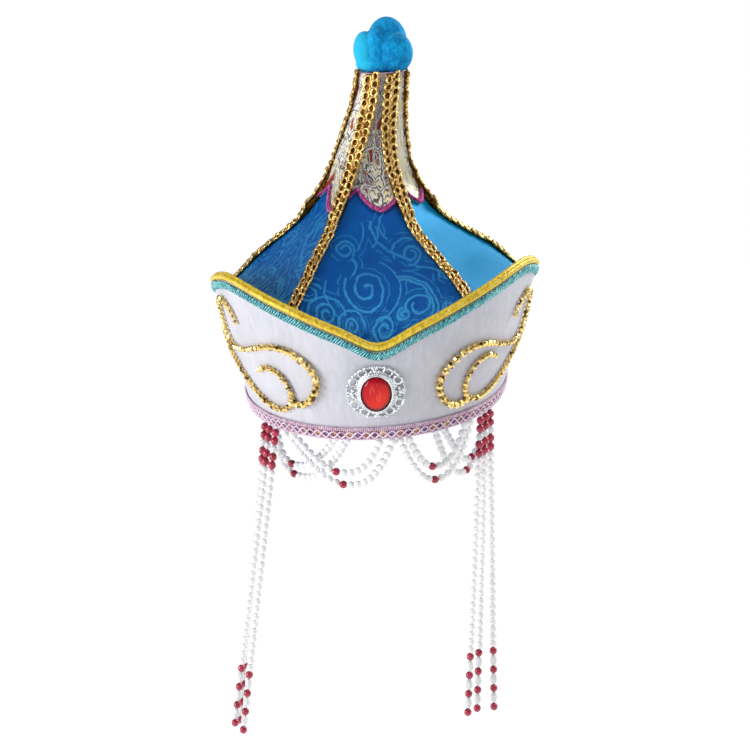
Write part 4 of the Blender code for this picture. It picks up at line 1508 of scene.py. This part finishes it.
# %% Long strings
STRANDS = [  # side, number, azimuth at the rim, free end x, y and z
    ("left", 1, -61.2, -103.5, -44.0, -212), ("left", 2, -56.9, -106.0, -52.0, -210),
    ("left", 3, -51.8, -100.4, -59.0, -212), ("right", 1, 61.0, 65.0, -51.0, -210),
    ("right", 2, 56.5, 53.5, -56.0, -208), ("right", 3, 52.0, 47.0, -63.0, -207),
]
OUTER_ROW, INNER_ROW = -1 * MM, -8 * MM
HEAD = [(WHITE, 2.2), (RED, 5.4), (RED, 5.4), (CLEAR, 4.9), (RED, 5.6), (RED, 5.5)]  # kind, mm
TAIL = [(RED, 5.3), (CLEAR, 7.8)] * 3 + [(RED, 5.3)]
for word, number, azimuth, *foot in STRANDS:
    knot = band_point(azimuth, 0, OUTER_ROW) - Vector((0, 0, GAP))
    top = knot - Vector((0, 0, PEARL / 2))
    route = [knot, top, Vector(foot) * MM]
    room = (route[1] - route[2]).length / MM - sum(length for _, length in HEAD + TAIL)
    kinds = HEAD + [(WHITE, PEARL_PITCH)] * round(room / PEARL_PITCH) + TAIL
    thread_beads(f"pearls_{word}_{number}", f"strand_{word}_{number}", route, kinds)

# %% [markdown]
# ## The loops below the rim
#
# Eight strings are tied up at both ends, so they hang in loops, two by two. A free string hangs
# in a catenary, but these are short and pulled by their knots, so a flatter curve with a lean
# to one side fits them better. Each has one red bead, near its middle.

# %% Loops below the rim
SWAGS = [  # name, row, azimuths of both ends, depth in mm, lean, the red bead's place
    ("left_outer_1", INNER_ROW, -59.8, -21.2, 28, 0.53, 0.363),
    ("left_outer_2", INNER_ROW, -63.6, -15.2, 36, 0.61, 0.408),
    ("left_inner_1", OUTER_ROW, -40.4, 0.0, 24, 1.22, 0.461),
    ("left_inner_2", OUTER_ROW, -45.5, 5.7, 33, 1.18, 0.48),
    ("right_inner_1", OUTER_ROW, 13.1, 41.0, 24, 1.0, 0.440),
    ("right_inner_2", OUTER_ROW, 9.1, 44.6, 33, 1.0, 0.48),
    ("right_outer_1", INNER_ROW, 31.6, 67.1, 32, 1.38, 0.553),
    ("right_outer_2", INNER_ROW, 27.6, 72.6, 40, 1.02, 0.517),
]
SWAG_STEPS, SWAG_FLATNESS = 48, 2.3
for word, row, start, end, depth, lean, red_place in SWAGS:
    knots = [band_point(azimuth, 0, row) - Vector((0, 0, GAP)) for azimuth in (start, end)]
    route = [knots[0]]
    for i in range(SWAG_STEPS + 1):
        part = (1 - math.cos(math.pi * i / SWAG_STEPS)) / 2
        sag = (1 - abs(2 * part**lean - 1) ** SWAG_FLATNESS) * (depth * MM - PEARL / 2)
        route.append(knots[0].lerp(knots[1], part) - Vector((0, 0, PEARL / 2 + sag)))
    route.append(knots[1])
    count = round(distances(route)[-1] / MM / PEARL_PITCH)
    kinds = [(RED if i == int(count * red_place) else WHITE, PEARL_PITCH) for i in range(count)]
    thread_beads(f"loop_{word}", f"swag_{word}", route, kinds)

# %% [markdown]
# ## Floor, light and camera
#
# The cap hangs as if held, over a pale floor far below. On a lit floor its shadow would lie
# across the view, so the floor glows evenly instead. One large soft light on the left is the
# key, a weak one above shows the top, and one from the right and behind brings out the satin's
# sheen. The sky is dimmer overhead than at the sides, as in a tent lit through its walls.

# %% Floor
FLOOR_LEVEL, FLOOR_HALF = -0.6, 12
bm = bmesh.new()
level = Matrix.Translation((0, 0, FLOOR_LEVEL))
bmesh.ops.create_grid(bm, x_segments=1, y_segments=1, size=FLOOR_HALF, matrix=level)
floor_mesh = bpy.data.meshes.new("floor")
bm.to_mesh(floor_mesh)
bm.free()
floor = bpy.data.objects.new("floor", floor_mesh)
bpy.context.collection.objects.link(floor)
paper = Finish("pale_floor", 0.9, Base_Color=(0.1, 0.1, 0.1, 1), Emission_Strength=1.0)
paper.set(Emission_Color=paper.mix(paper.noise(paper.here(), 2.0), (0.97, 0.97, 0.97), (1.0, 1.0, 1.0)))
floor_mesh.materials.append(paper.material)
print("floor", -FLOOR_LEVEL, "m below the rim")

# %% Lights
LIT_POINT = Vector((0, 0, 0.08))


def add_light(name, place, size, power):
    data = bpy.data.lights.new(name, "AREA")
    data.shape, data.size, data.energy = "SQUARE", size, power
    light = bpy.data.objects.new(name, data)
    light.location = place
    light.rotation_euler = (LIT_POINT - Vector(place)).to_track_quat("-Z", "Y").to_euler()
    bpy.context.collection.objects.link(light)


add_light("key", (-1.85, -0.75, 0.45), size=1.0, power=27)
add_light("top", (0.35, -0.55, 1.5), size=1.0, power=6.5)
add_light("back", (1.55, 1.1, 0.85), size=0.8, power=27)

# %% Sky
SKY_FALL = {"From Min": 0.05, "From Max": 0.75, "To Min": 0.5, "To Max": 0.12}  # height, strength
world = bpy.data.worlds.new("studio")
world.use_nodes = True
dome = world.node_tree
backdrop = dome.nodes["Background"]
backdrop.inputs["Color"].default_value = (1, 1, 1, 1)
direction = dome.nodes.new("ShaderNodeTexCoord")
split = dome.nodes.new("ShaderNodeSeparateXYZ")
fall = dome.nodes.new("ShaderNodeMapRange")
dome.links.new(direction.outputs["Generated"], split.inputs[0])
dome.links.new(split.outputs[2], fall.inputs["Value"])
dome.links.new(fall.outputs[0], backdrop.inputs["Strength"])
for key, value in SKY_FALL.items():
    fall.inputs[key].default_value = value
bpy.context.scene.world = world
bpy.context.scene.view_settings.view_transform = "Standard"
print("sky nodes:", len(dome.nodes))

# %% [markdown]
# ## The camera
#
# The camera was fitted to the photo: it stands a little above the cap and looks down on it, and
# is rolled a few degrees because the cap was held askew. Rolling the cap instead would be as
# easy, but then it would no longer lie as its frame does.

# %% Camera
CAMERA_PLACE = (-0.0002, -1.2, 0.36)
CAMERA_PITCH, CAMERA_ROLL, CAMERA_LENS = 16.278, -3.4, 91.99
camera_data = bpy.data.cameras.new("camera")
camera_data.lens, camera_data.sensor_width = CAMERA_LENS, 36
camera = bpy.data.objects.new("camera", camera_data)
pitch = Matrix.Rotation(math.radians(90 - CAMERA_PITCH), 4, "X")
roll = Matrix.Rotation(math.radians(CAMERA_ROLL), 4, "Z")
camera.matrix_world = Matrix.Translation(CAMERA_PLACE) @ pitch @ roll
bpy.context.collection.objects.link(camera)
bpy.context.scene.camera = camera
print("camera lens:", CAMERA_LENS, "mm")
